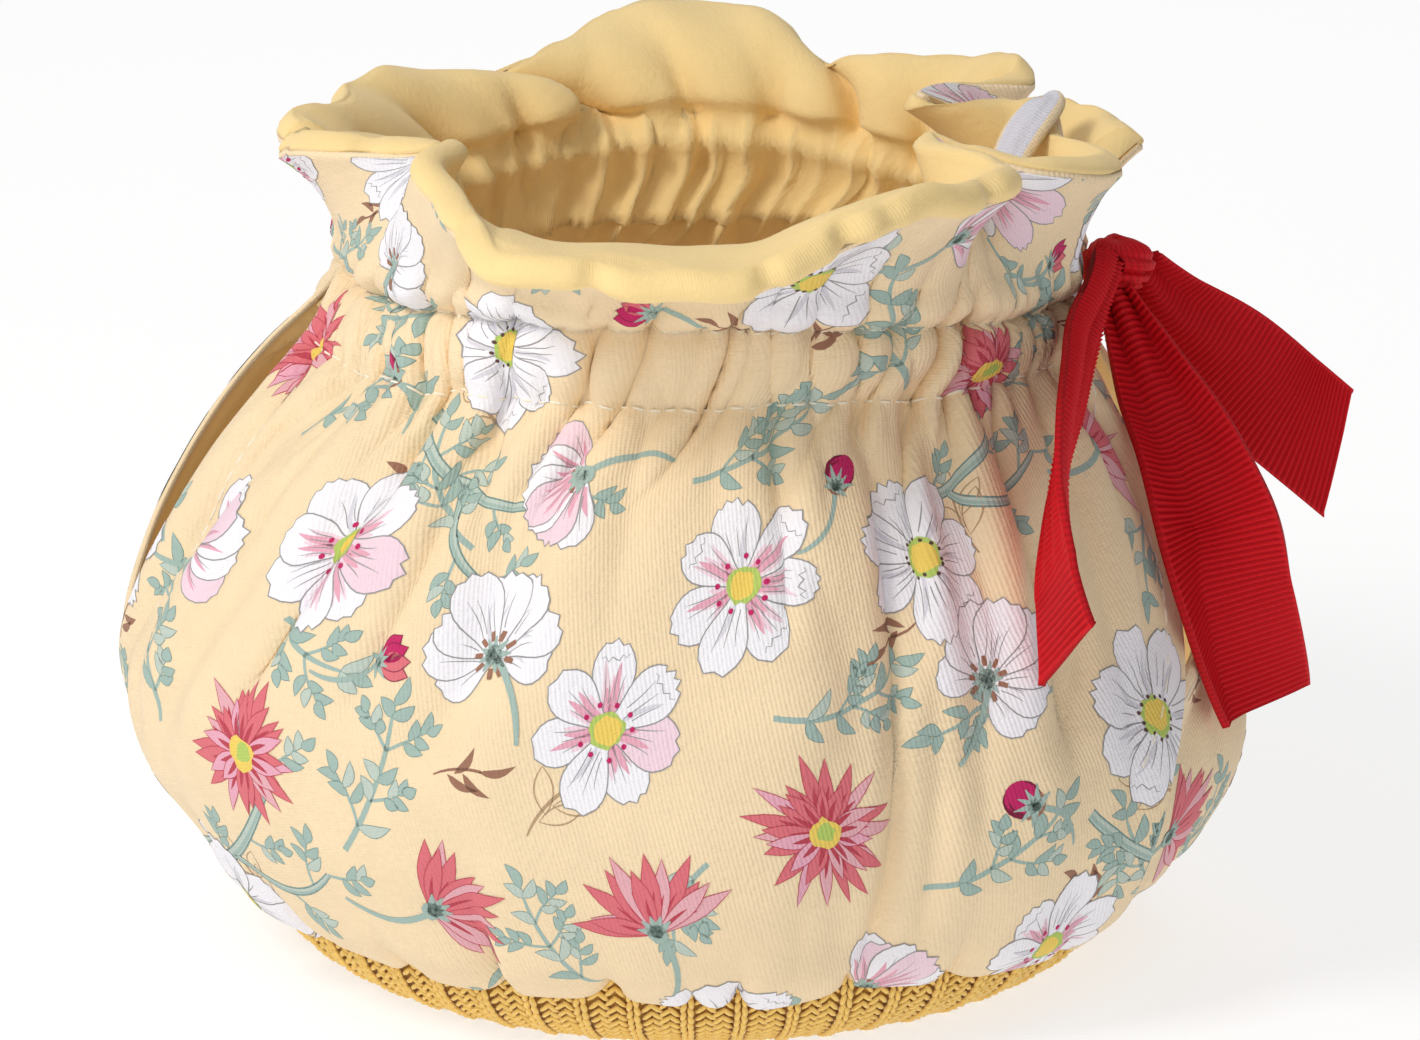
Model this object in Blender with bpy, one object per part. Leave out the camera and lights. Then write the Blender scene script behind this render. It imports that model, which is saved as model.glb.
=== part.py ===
"""Tea cosy of gathered printed cotton, with a frilled collar, a knitted base band and ribbon ties.

The cosy stands round an empty space for a round teapot. The spout side is -X, the handle side +X,
the front -Y. Tables are in millimetres and degrees, measured from the teapot's upright axis;
place() turns them into metres, with the origin under the middle of the whole part's box.
"""

import math
from collections import namedtuple

import bpy
from mathutils import Vector

MM = 0.001
BOX_SHIFT_X = -9.5      # from the teapot's axis to the middle of the box, ties included
BOX_SHIFT_Y = 1.6

# ---------------------------------------------------------------- driving sizes
CLOTH = 1.2             # printed cotton with its wadding
LINING = 1.2            # plain cotton at the foot of the collar
LINING_RIM = 2.9        # the same where it is rolled over the wadding at the rim
GAP = 0.32              # between two layers that are sewn together
ROLL = 3.4              # how far the lining's roll stands above the printed edge
ROLL_GAP = 1.0          # between the printed edge and the roll above it
ROLL_OVER = 0.4         # share of the printed cloth that the roll reaches over
COLUMN = 5.6            # cloth between two columns of facets
SEAM_NEAR = 1.0         # columns this near to the spout seam keep their thickness beside it
NORMAL_REACH = 2        # columns to either side that a column's outward direction is read from
LAP_LIFT = 1.7          # the front panel's edge lifts this far over the back one, low at the handle side
LAP_DROP = 0.8          # and the back panel's edge sinks this far under it
LAP_LEVELS = 4
LIFT_FROM, LIFT_TO = 36.0, 47.0
DROP_FROM, DROP_TO = 76.0, 62.0
COLLAR_ROWS = (0.3, 0.64, 1.0)
COLLAR_RISE = 13.0      # the collar leaves the channel straight up for about this far
GATHER = 1.5            # depth of the gathers at the elastic
GATHER_COUNT = 25       # gathers round the whole neck
GATHER_TAIL = 22.0      # how far they run down into the body
RIBBON = 19.0
RIBBON_THICK = 1.0

# Heights and radii of the cloth's middle surface, looking from the front, right, back and left.
Level = namedtuple("Level", "name zf rf zr rr zb rb zl rl")
LEVELS = [
    Level("hem", 11.0, 70.6, 10.0, 71.5, 11.0, 70.6, 10.5, 70.2),
    Level("skirt", 20.0, 77.0, 19.0, 80.0, 20.0, 77.5, 19.5, 79.0),
    Level("belly_low", 32.5, 81.0, 31.5, 85.8, 32.5, 81.5, 32.5, 87.3),
    Level("belly", 46.0, 81.8, 44.0, 85.0, 46.0, 82.3, 46.0, 91.2),
    Level("waist", 60.0, 79.8, 58.0, 79.8, 60.0, 80.3, 60.0, 89.0),
    Level("shoulder_low", 73.0, 75.0, 70.0, 75.8, 73.0, 75.5, 72.0, 84.0),
    Level("shoulder", 84.0, 70.0, 82.0, 70.8, 84.0, 70.5, 83.0, 77.2),
    Level("shoulder_top", 94.0, 64.0, 91.5, 65.3, 94.0, 64.5, 92.0, 69.8),
    Level("channel_low", 102.5, 57.8, 99.0, 60.5, 102.5, 58.5, 100.0, 61.8),
    Level("channel_mid", 108.5, 57.2, 103.0, 59.5, 108.5, 58.0, 105.0, 57.5),
    Level("channel_top", 114.5, 57.6, 107.0, 59.0, 114.5, 58.5, 110.0, 54.5),
]
CHANNEL_LOW, CHANNEL_MID, CHANNEL_TOP = 8, 9, 10

# Where each panel ends at each level: 0 is the front, 90 the handle side, 270 the spout side.
Edge = namedtuple("Edge", "front_from front_to back_from back_to")
EDGES = [
    Edge(-89.75, 57.0, 49.0, 269.75),
    Edge(-89.75, 56.0, 48.0, 269.75),
    Edge(-89.75, 56.0, 48.0, 269.75),
    Edge(-87.5, 60.0, 53.0, 267.5),
    Edge(-81.5, 70.5, 82.0, 261.5),
    Edge(-79.0, 75.0, 97.0, 258.5),
    Edge(-78.5, 77.0, 102.0, 258.0),
    Edge(-78.5, 79.0, 101.0, 258.5),
    Edge(-80.5, 81.5, 98.0, 261.0),
    Edge(-85.0, 84.0, 95.0, 265.0),
    Edge(-89.6, 86.0, 92.5, 269.6),
]

# The collar's printed edge, from the spout seam round the front to the handle slit, and the
# angle of the neck that each place rises from.
Rim = namedtuple("Rim", "name x y z neck")
FRONT_RIM = [
    Rim("seam", -64.0, -0.7, 129.5, -89.6),
    Rim("spout_wing", -65.5, -9.0, 131.0, -84.0),
    Rim("wing_top", -58.5, -19.0, 133.5, -77.0),
    Rim("turning_in", -49.0, -26.0, 134.5, -69.0),
    Rim("left_pleat", -38.5, -30.5, 135.5, -60.0),
    Rim("left_pleat_out", -40.5, -43.5, 135.0, -52.0),
    Rim("falling", -36.5, -60.0, 133.0, -43.0),
    Rim("front_left", -30.0, -75.5, 129.5, -32.0),
    Rim("front_lobe", -20.0, -80.0, 130.0, -23.0),
    Rim("front_dip", -8.0, -82.0, 129.0, -12.0),
    Rim("front_middle", 7.0, -82.5, 128.5, 0.0),
    Rim("rising", 17.0, -78.0, 132.5, 9.0),
    Rim("front_right", 28.0, -71.0, 136.0, 17.0),
    Rim("right_lobe", 39.0, -60.0, 135.5, 28.0),
    Rim("pleat_in", 47.0, -46.0, 134.5, 39.0),
    Rim("right_pleat", 36.5, -27.0, 134.5, 48.5),
    Rim("pleat_round", 38.5, -22.5, 134.5, 51.5),
    Rim("pleat_out", 52.0, -32.5, 133.5, 58.5),
    Rim("handle_lobe", 64.5, -21.0, 130.5, 68.0),
    Rim("pocket", 62.5, -12.0, 130.5, 73.5),
    Rim("pocket_back", 56.5, -3.0, 130.5, 79.5),
    Rim("corner", 55.5, 7.5, 134.0, 86.0),
]
# The same from the handle slit round the back to the spout seam.
BACK_RIM = [
    Rim("corner", 69.5, 1.0, 129.0, 92.5),
    Rim("outer_lobe", 64.5, 15.5, 129.5, 98.0),
    Rim("behind_tie", 57.5, 22.5, 129.0, 104.0),
    Rim("turning_in", 49.5, 24.5, 129.0, 110.0),
    Rim("pleat", 37.5, 17.5, 130.5, 115.0),
    Rim("pleat_round", 35.0, 22.5, 130.5, 118.5),
    Rim("pleat_side", 41.5, 31.5, 130.0, 122.0),
    Rim("turning_back", 53.5, 38.5, 129.0, 127.0),
    Rim("corner_round", 52.0, 47.0, 129.5, 132.0),
    Rim("right_lobe", 39.5, 51.5, 129.0, 140.0),
    Rim("right_fold", 28.0, 56.5, 128.0, 148.0),
    Rim("fold_out", 21.0, 61.0, 128.0, 154.5),
    Rim("back_right", 15.5, 69.5, 129.5, 161.0),
    Rim("back_middle", 5.5, 77.5, 130.5, 169.0),
    Rim("back_lobe", -12.5, 78.5, 129.5, 184.0),
    Rim("left_fold", -22.5, 65.0, 127.5, 196.0),
    Rim("fold_foot", -34.0, 55.0, 127.5, 207.0),
    Rim("left_lobe", -48.0, 49.0, 127.5, 221.0),
    Rim("left_side", -57.0, 33.0, 128.5, 238.0),
    Rim("left_hollow", -57.5, 20.0, 129.5, 250.0),
    Rim("spout_wing", -65.0, 9.0, 130.5, 262.0),
    Rim("seam", -64.0, 0.7, 129.5, 269.6),
]

# Long soft folds of the body: troughs have a negative depth.
Fold = namedtuple("Fold", "top bottom depth width z_low z_high")
FOLDS = [
    Fold(25.0, 19.0, -2.2, 5.5, 8.0, 104.0),
    Fold(15.0, 10.0, 1.2, 6.0, 20.0, 100.0),
    Fold(-37.0, -92.0, -2.4, 5.0, 34.0, 104.0),
    Fold(-56.0, -84.0, 1.5, 6.0, 20.0, 96.0),
    Fold(-74.0, -76.0, -1.6, 4.0, 12.0, 40.0),
    Fold(-28.0, -26.0, -1.2, 5.0, 8.0, 50.0),
    Fold(50.0, 40.0, -1.6, 5.0, 8.0, 100.0),
    Fold(2.0, 2.0, -1.0, 5.0, 8.0, 30.0),
    Fold(116.0, 112.0, -2.2, 6.0, 10.0, 104.0),
    Fold(150.0, 155.0, -2.0, 5.0, 8.0, 104.0),
    Fold(183.0, 178.0, -1.6, 6.0, 8.0, 80.0),
    Fold(214.0, 220.0, -2.2, 5.0, 20.0, 104.0),
    Fold(245.0, 240.0, -1.5, 6.0, 8.0, 90.0),
]

# Ribbon ties: the middle of the ribbon, which way its width points, and how much of the width
# is spread. The width turns from +X towards -Y by turn, and lifts by tilt; crease pinches the middle.
Station = namedtuple("Station", "x y z turn tilt spread crease")
NARROW_TAIL = [
    Station(64.2, -6.5, 111.0, -60.0, -40.0, 0.3, 1.0),
    Station(60.6, -16.5, 108.2, -72.0, -62.0, 0.45, 1.0),
    Station(59.2, -28.0, 103.6, -76.0, -66.0, 0.6, 0.8),
    Station(58.0, -39.5, 99.2, -78.0, -62.0, 0.7, 0.6),
    Station(56.2, -49.0, 94.2, -78.0, -52.0, 0.8, 0.4),
    Station(54.6, -57.0, 86.6, -76.0, -38.0, 0.9, 0.3),
    Station(54.2, -61.5, 77.0, -70.0, -16.0, 1.0, 0.2),
    Station(55.8, -63.0, 64.7, -60.0, 0.0, 1.0, 0.0),
]
WIDE_TAIL = [
    Station(66.4, -4.6, 105.5, -30.0, 45.0, 0.3, 1.0),
    Station(72.1, -14.0, 94.0, -20.0, 25.0, 0.65, 2.0),
    Station(77.0, -19.0, 86.2, -12.0, 8.0, 0.85, 2.6),
    Station(81.6, -26.0, 75.2, -8.0, 5.0, 1.0, 3.0),
    Station(85.5, -27.0, 61.2, -24.0, 5.0, 1.0, 2.0),
    Station(90.5, -20.0, 42.4, -50.0, 0.0, 1.0, 0.6),
]
BACK_TAIL = [
    Station(70.0, 4.2, 107.6, -25.0, 46.0, 0.45, 1.0),
    Station(75.6, 8.5, 98.6, -20.0, 48.0, 0.8, 1.4),
    Station(84.8, 13.0, 89.8, -18.0, 48.0, 1.0, 1.6),
    Station(96.0, 17.8, 79.4, -16.0, 46.0, 1.0, 1.0),
    Station(105.2, 22.0, 70.6, -14.0, 45.0, 1.0, 0.4),
]
KNOT_CENTRE = (64.9, -0.6, 109.4)
KNOT_RADII = (4.2, 5.2, 5.0)

# The knitted band turned under the teapot, as radius and height round its section.
KNIT_SECTION = [
    (43.0, 0.0), (55.5, 0.0), (59.2, 0.5), (62.4, 2.0), (66.0, 4.2), (68.6, 7.2), (69.8, 10.5),
    (69.8, 14.5), (67.0, 14.5), (66.9, 10.8), (65.8, 8.4), (63.2, 6.1), (60.0, 4.0), (55.5, 3.0),
    (43.0, 3.0), (42.0, 1.5),
]
KNIT_SIDES = 48

COLOURS = {
    "cotton_print": (0.90, 0.72, 0.42),
    "lining": (0.88, 0.66, 0.30),
    "knit": (0.72, 0.42, 0.06),
    "ribbon": (0.42, 0.01, 0.02),
}


def place(x, y, z):
    return Vector(((x + BOX_SHIFT_X) * MM, (y + BOX_SHIFT_Y) * MM, z * MM))


def smooth_step(low, high, value):
    t = min(1.0, max(0.0, (value - low) / (high - low)))
    return t * t * (3.0 - 2.0 * t)


def spline(rows, span, t):
    """A point of the Catmull-Rom curve through rows, between rows span and span + 1."""
    last = len(rows) - 1
    a, b, c, d = (rows[min(last, max(0, span + k))] for k in (-1, 0, 1, 2))
    return tuple(
        0.5 * (2 * q + (r - p) * t + (2 * p - 5 * q + 4 * r - s) * t * t + (3 * q - p - 3 * r + s) * t**3)
        for p, q, r, s in zip(a, b, c, d)
    )


# ---------------------------------------------------------------- the cloth's surface
def around(angle, front, right, back, left):
    """Blends four values, one for each side, by the direction."""
    c, s = math.cos(math.radians(angle)), math.sin(math.radians(angle))
    along = front if c > 0 else back
    across = right if s > 0 else left
    return along * c * c + across * s * s


def gathers(angle):
    """Uneven waves that the elastic draws into the cloth, from -1 to 1."""
    wander = 0.9 * math.sin(math.radians(5.0 * angle + 40.0))
    return math.cos(math.radians(GATHER_COUNT * angle) + wander)


def fold_depth(angle, height):
    """How far the body's long folds move the cloth outwards at one place."""
    total = 0.0
    for fold in FOLDS:
        middle = fold.bottom + (fold.top - fold.bottom) * min(1.0, max(0.0, height / 104.0))
        away = (angle - middle) / fold.width
        fade = smooth_step(fold.z_low, fold.z_low + 14.0, height)
        fade *= 1.0 - smooth_step(fold.z_high - 14.0, fold.z_high, height)
        total += fold.depth * math.exp(-away * away) * fade
    return total


def body_point(level, angle, is_back):
    row = LEVELS[level]
    height = around(angle, row.zf, row.zr, row.zb, row.zl)
    radius = around(angle, row.rf, row.rr, row.rb, row.rl)
    below = max(0.0, LEVELS[CHANNEL_LOW].zf - height)
    fade = 1.0 - smooth_step(0.0, GATHER_TAIL, below)
    radius += GATHER * gathers(angle) * fade + fold_depth(angle, height)
    if level < LAP_LEVELS and is_back:
        radius -= LAP_DROP * (1.0 - smooth_step(DROP_TO, DROP_FROM, angle))
    elif level < LAP_LEVELS:
        radius += LAP_LIFT * smooth_step(LIFT_FROM, LIFT_TO, angle)
    return Vector((radius * math.sin(math.radians(angle)), -radius * math.cos(math.radians(angle)), height))


def columns(rim):
    """Each column's place on the rim and the share of the neck that it rises from."""
    rows = [(r.x, r.y, r.z, r.neck) for r in rim]
    found = []
    for span in range(len(rows) - 1):
        length = (Vector(rows[span + 1][:3]) - Vector(rows[span][:3])).length
        steps = max(1, round(length / COLUMN))
        found += [spline(rows, span, k / steps) for k in range(steps)]
    found.append(rows[-1])
    first, last = rows[0][3], rows[-1][3]
    return [(Vector(c[:3]), (c[3] - first) / (last - first)) for c in found]


def panel_grid(rim, is_back):
    """The middle surface as columns of points, from the hem to the collar's printed edge."""
    grid = []
    for rim_point, share in columns(rim):
        points = []
        for level, edge in enumerate(EDGES):
            start, end = (edge.back_from, edge.back_to) if is_back else (edge.front_from, edge.front_to)
            points.append(body_point(level, start + (end - start) * share, is_back))
        neck = points[-1]
        control = neck + Vector((0.0, 0.0, COLLAR_RISE))
        for v in COLLAR_ROWS:
            points.append((1 - v) ** 2 * neck + 2 * v * (1 - v) * control + v * v * rim_point)
        grid.append(points)
    return grid


def outward(grid, i, j):
    """The direction out of the cosy at one place of a grid."""
    near, far = grid[max(0, i - NORMAL_REACH)][j], grid[min(len(grid) - 1, i + NORMAL_REACH)][j]
    low, high = grid[i][max(0, j - 1)], grid[i][min(len(grid[i]) - 1, j + 1)]
    normal = (far - near).cross(high - low)
    at = grid[i][j]
    if at.x < 0.0 and abs(at.y) < SEAM_NEAR:
        normal.y = 0.0
    return normal.normalized()


# ---------------------------------------------------------------- solids
def new_object(name, vertices, faces, slot):
    mesh = bpy.data.meshes.new(name)
    mesh.from_pydata([place(*v) for v in vertices], [], faces)
    mesh.validate()
    mesh.shade_smooth()
    mesh.set_sharp_from_angle(angle=math.radians(50.0))
    mesh.materials.append(material(slot))
    obj = bpy.data.objects.new(name, mesh)
    bpy.context.scene.collection.objects.link(obj)
    return obj


def material(slot):
    found = bpy.data.materials.get(slot)
    if found:
        return found
    made = bpy.data.materials.new(slot)
    made.use_nodes = True
    shader = made.node_tree.nodes["Principled BSDF"]
    shader.inputs["Base Color"].default_value = (*COLOURS[slot], 1.0)
    shader.inputs["Roughness"].default_value = 0.8 if slot != "ribbon" else 0.5
    shader.inputs["Metallic"].default_value = 0.0
    return made


def sheet_solid(name, outer, inner, slot):
    """A closed sheet between two grids of points, each a list of columns."""
    wide, tall = len(outer), len(outer[0])
    vertices = [v for column in outer for v in column] + [v for column in inner for v in column]
    back = wide * tall

    def at(i, j):
        return i * tall + j

    faces = []
    for i in range(wide - 1):
        for j in range(tall - 1):
            a, b, c, d = at(i, j), at(i + 1, j), at(i + 1, j + 1), at(i, j + 1)
            faces += [(a, b, c), (a, c, d)]
            faces += [(back + c, back + b, back + a), (back + d, back + c, back + a)]
    for i in range(wide - 1):
        for j, flip in ((0, False), (tall - 1, True)):
            a, b, c, d = at(i, j), at(i + 1, j), back + at(i + 1, j), back + at(i, j)
            for wall in ((b, a, d), (b, d, c)):
                faces.append(wall[::-1] if flip else wall)
    for j in range(tall - 1):
        for i, flip in ((0, False), (wide - 1, True)):
            wall = (at(i, j), at(i, j + 1), back + at(i, j + 1), back + at(i, j))
            faces.append(wall[::-1] if flip else wall)
    return new_object(name, vertices, faces, slot)


def printed_panel(name, rim, is_back):
    """The printed cotton of one side: body, elastic channel and the outside of the collar."""
    grid = panel_grid(rim, is_back)
    outer, inner = [], []
    for i, column in enumerate(grid):
        normals = [outward(grid, i, j) for j in range(len(column))]
        inner.append([p + n * (GAP / 2) for p, n in zip(column, normals)])
        outer.append([p + n * (GAP / 2 + CLOTH) for p, n in zip(column, normals)])
    sheet_solid(name, outer, inner, "cotton_print")
    return grid


def collar_lining(name, grid):
    """The plain lining that shows inside the collar and is rolled over its printed edge."""
    outer, inner = [], []
    top = len(grid[0]) - 1
    for i, column in enumerate(grid):
        inside, outside = [], []
        for j in range(CHANNEL_MID, top + 1):
            normal = outward(grid, i, j)
            share = (j - CHANNEL_MID) / (top - CHANNEL_MID)
            thick = LINING + (LINING_RIM - LINING) * share
            outside.append(column[j] - normal * (GAP / 2))
            inside.append(column[j] - normal * (GAP / 2 + thick))
        rise = (column[top] - column[top - 1]).normalized()
        edge = column[top] + rise * ROLL_GAP
        inside.append(edge + rise * ROLL * 0.75 - normal * LINING_RIM * 0.75)
        outside.append(edge - normal * (GAP / 2))
        inside.append(edge + rise * ROLL * 0.85 + normal * CLOTH * 0.4)
        outside.append(edge + normal * CLOTH * ROLL_OVER)
        outer.append(outside)
        inner.append(inside)
    sheet_solid(name, outer, inner, "lining")


def knit_band():
    """The ribbed band under the hem, turned in under the teapot's foot."""
    vertices, faces = [], []
    count = len(KNIT_SECTION)
    for k in range(KNIT_SIDES):
        turn = 2.0 * math.pi * k / KNIT_SIDES
        vertices += [Vector((r * math.cos(turn), r * math.sin(turn), z)) for r, z in KNIT_SECTION]
    for k in range(KNIT_SIDES):
        here, there = k * count, ((k + 1) % KNIT_SIDES) * count
        for j in range(count):
            n = (j + 1) % count
            faces.append((here + j, there + j, there + n, here + n))
    new_object("knit_base", vertices, faces, "knit")


RIBBON_ACROSS = (-1.0, -0.45, 0.0, 0.45, 1.0)
RIBBON_STEPS = 3


def ribbon_tail(name, stations):
    """A flat ribbon through its stations, with a soft crease along its middle."""
    path = []
    for span in range(len(stations) - 1):
        path += [spline(stations, span, k / RIBBON_STEPS) for k in range(RIBBON_STEPS)]
    path.append(tuple(stations[-1]))
    path = [Station(*row) for row in path]
    front, back = [], []
    for k, at in enumerate(path):
        before, after = path[max(0, k - 1)], path[min(len(path) - 1, k + 1)]
        along = Vector(after[:3]) - Vector(before[:3])
        turn, tilt = math.radians(at.turn), math.radians(at.tilt)
        across = Vector((math.cos(turn) * math.cos(tilt), -math.sin(turn) * math.cos(tilt), math.sin(tilt)))
        face = along.cross(across).normalized()
        across = face.cross(along).normalized()
        half = RIBBON / 2 * at.spread
        middle = Vector(at[:3])
        rows = [middle + across * half * s + face * at.crease * (1.0 - abs(s)) for s in RIBBON_ACROSS]
        front.append([p + face * RIBBON_THICK / 2 for p in rows])
        back.append([p - face * RIBBON_THICK / 2 for p in rows])
    sheet_solid(name, front, back, "ribbon")


def knot():
    """The small pulled knot that holds the ties together at the handle side."""
    sides, rings = 12, 7
    vertices = [Vector(KNOT_CENTRE) + Vector((0.0, 0.0, -KNOT_RADII[2]))]
    for j in range(1, rings):
        polar = math.pi * j / rings
        for k in range(sides):
            turn = 2.0 * math.pi * k / sides
            vertices.append(Vector((
                KNOT_CENTRE[0] + KNOT_RADII[0] * math.sin(polar) * math.cos(turn),
                KNOT_CENTRE[1] + KNOT_RADII[1] * math.sin(polar) * math.sin(turn),
                KNOT_CENTRE[2] - KNOT_RADII[2] * math.cos(polar),
            )))
    vertices.append(Vector(KNOT_CENTRE) + Vector((0.0, 0.0, KNOT_RADII[2])))
    faces = [(0, 1 + (k + 1) % sides, 1 + k) for k in range(sides)]
    for j in range(rings - 2):
        for k in range(sides):
            a, b = 1 + j * sides + k, 1 + j * sides + (k + 1) % sides
            faces.append((a, b, b + sides, a + sides))
    last, start = len(vertices) - 1, 1 + (rings - 2) * sides
    faces += [(last, start + k, start + (k + 1) % sides) for k in range(sides)]
    new_object("ribbon_knot", vertices, faces, "ribbon")


def main():
    for obj in list(bpy.data.objects):
        bpy.data.objects.remove(obj, do_unlink=True)
    front = printed_panel("outer_front", FRONT_RIM, False)
    back = printed_panel("outer_back", BACK_RIM, True)
    collar_lining("lining_front", front)
    collar_lining("lining_back", back)
    knit_band()
    knot()
    ribbon_tail("ribbon_tail_narrow", NARROW_TAIL)
    ribbon_tail("ribbon_tail_wide", WIDE_TAIL)
    ribbon_tail("ribbon_tail_back", BACK_TAIL)


main()
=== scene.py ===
"""Looks of a gathered tea cosy: printed twill, padded collar, knitted band and grosgrain ties.

Tables are in millimetres and degrees from the teapot's upright axis, as in the CAD, and place() turns
them into metres in the shared frame. Pattern coordinates are millimetres on the flat cloth: across
from the panel's first edge, and up from the hem. The pieces of cloth and ribbon carry a flat map,
OFBake, which their fine weave is drawn from.
"""

import math
from collections import namedtuple
from itertools import product

import bpy
import numpy as np
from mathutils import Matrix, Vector
from mathutils.geometry import delaunay_2d_cdt


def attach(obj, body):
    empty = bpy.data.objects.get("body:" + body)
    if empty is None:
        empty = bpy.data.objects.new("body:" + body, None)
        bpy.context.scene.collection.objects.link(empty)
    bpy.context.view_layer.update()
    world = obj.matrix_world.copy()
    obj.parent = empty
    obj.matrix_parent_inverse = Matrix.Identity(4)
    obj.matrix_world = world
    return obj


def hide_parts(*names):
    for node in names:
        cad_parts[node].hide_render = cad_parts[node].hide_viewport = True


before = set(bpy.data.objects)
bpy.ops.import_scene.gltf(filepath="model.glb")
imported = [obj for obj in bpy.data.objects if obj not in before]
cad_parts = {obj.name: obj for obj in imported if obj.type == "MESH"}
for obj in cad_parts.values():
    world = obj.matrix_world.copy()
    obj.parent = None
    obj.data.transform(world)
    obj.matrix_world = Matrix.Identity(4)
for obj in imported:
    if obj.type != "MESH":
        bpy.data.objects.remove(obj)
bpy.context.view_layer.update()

MM = 0.001
BOX_SHIFT = np.array([-9.5, 1.6, 0.0])      # from the teapot's axis to the middle of the box

# ---------------------------------------------------------------- camera and studio
AIM = (2.1, 0.0, 67.0)
ELEVATION = 17.0
DISTANCE = 1400.0
SENSOR = 36.0
FOCAL_PX, FRAME_PX = 8750.0, 1420.0 # the focal length and the frame's width, in pixels
LENS = SENSOR * FOCAL_PX / FRAME_PX
STAGE_SPAN = 4.0                    # half the floor's width, in metres
WORLD_BRIGHT_SIDE = (-0.83, -0.4, 0.39)
WORLD_DIM, WORLD_BRIGHT = 0.17, 0.57

# ---------------------------------------------------------------- sizes of the cloth
GAP = 0.32              # between two layers that are sewn together
CLOTH = 1.2             # printed cotton with its wadding
PITCH = 1.2             # mesh spacing across the cloth
ROW_PITCH = 1.5         # and up it
COLLAR_RISE = 13.0      # the collar leaves the channel straight up for about this far
COLLAR_HEIGHT = 28.5    # from the channel's head to the collar's printed edge, on the cloth
FRONT_WIDTH = 216.0     # flat width of the front panel at its hem: its share of the belly's girth
BACK_WIDTH = 316.0      # and of the back panel
GATHERS_DEEPEST = 6.4   # the gathers' valleys level off towards this depth
HEM_FADE, HEM_LIFT = 26.0, 1.1      # how far up the hem's tucks reach, and how far the hem rises
RIM_SHARE = 0.6         # columns are spaced by the collar's rim this much, and else by the neck
FAN_FROM, FAN_TO = 6.2, 10.0            # levels where columns pass from one spacing to the other
CHANNEL_PUFF = 1.2      # how far the channel swells between its stitches
# Ridges across a panel: how far out, how far from their start and how wide.
FOOT_PINCH, HEAD_PINCH = (0.9, 0.0, 1.4), (1.4, 0.0, 1.3)
OVERHANG, HEM_SWELL = (1.7, 3.6, 3.2), (1.1, 5.5, 5.0)
SLIT_SWELL, SLIT_FURROW = (1.0, 3.6, 2.6), (1.4, 7.6, 0.9)
EDGE_ROUND = 0.45       # how far a panel's cut edges bulge, as a share of its thickness
INNER_MAP_SHIFT = 0.51  # the plain inner side lies this far up the flat map
SLIT_STITCH_FROM = 34.0 # the stitches beside the slits start this far up from the hem
MAP_SPAN = 300.0        # millimetres of flat cloth for one unit of the flat map
# Valleys that stitches or elastic pull into the cloth, on average. make_puckers() varies each of them.
Valleys = namedtuple("Valleys", "pitch depth width reach lean")
GATHERS = Valleys(7.4, 4.0, 1.6, 13.0, 0.25)            # below the channel
CHANNEL_FEET = Valleys(5.6, 1.5, 1.3, 4.6, 0.6)         # at its lower stitches
CHANNEL_HEADS = Valleys(6.4, 1.3, 1.2, 4.2, 0.6)        # at its upper stitches
FANS = Valleys(15.0, 2.1, 2.4, 24.0, 0.5)               # long ones that run down over the shoulder
HEM_TUCKS = Valleys(14.5, 2.7, 1.9, 9.0, 0.16)
LINING_TUCKS = Valleys(8.0, 2.2, 1.2, 4.2, 0.8)
ROLL_PINCHES = Valleys(15.0, 0.85, 1.2, 1.0, 0.16)
# Low at the handle slit the front panel is lifted to lap over the back one, between these angles.
LAP_LEVEL = 4.0         # the lap ends at this level
LAP_LIFT, LIFT_FROM, LIFT_TO = 1.7, 36.0, 47.0
LAP_DROP, DROP_FROM, DROP_TO = 0.8, 76.0, 62.0

# Heights and radii of the cloth's middle surface, looking from the front, right, back and left.
Level = namedtuple("Level", "zf rf zr rr zb rb zl rl")
LEVELS = [Level(*row) for row in (
    (11, 70.6, 10, 71.5, 11, 70.6, 10.5, 70.2),         # hem
    (20, 77, 19, 80, 20, 77.5, 19.5, 79),               # skirt
    (32.5, 81, 31.5, 85.8, 32.5, 81.5, 32.5, 87.3),     # belly low
    (46, 81.8, 44, 85, 46, 82.3, 46, 91.2),             # belly
    (60, 79.8, 58, 79.8, 60, 80.3, 60, 89),             # waist
    (73, 75, 70, 75.8, 73, 75.5, 72, 84),               # shoulder low
    (84, 70, 82, 70.8, 84, 70.5, 83, 77.2),             # shoulder
    (94, 64, 91.5, 65.3, 94, 64.5, 92, 69.8),           # shoulder top
    (102.5, 57.8, 99, 60.5, 102.5, 58.5, 100, 61.8),    # channel low
    (108.5, 57.2, 103, 59.5, 108.5, 58, 105, 57.5),     # channel mid
    (114.5, 57.6, 107, 59, 114.5, 58.5, 110, 54.5),     # channel top
)]
CHANNEL_LOW, CHANNEL_TOP = 8, 10     # rows of the table

# Where each panel ends at each level: 0 is the front, 90 the handle side, 270 the spout side.
Edge = namedtuple("Edge", "front_from front_to back_from back_to")
EDGES = [Edge(*row) for row in (
    (-89.75, 57, 49, 269.75), (-89.75, 56, 48, 269.75), (-89.75, 56, 48, 269.75),
    (-87.5, 60, 53, 267.5), (-81.5, 70.5, 82, 261.5), (-79, 75, 97, 258.5), (-78.5, 77, 102, 258),
    (-78.5, 79, 101, 258.5), (-80.5, 81.5, 98, 261), (-85, 84, 95, 265), (-89.6, 86, 92.5, 269.6),
)]

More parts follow.
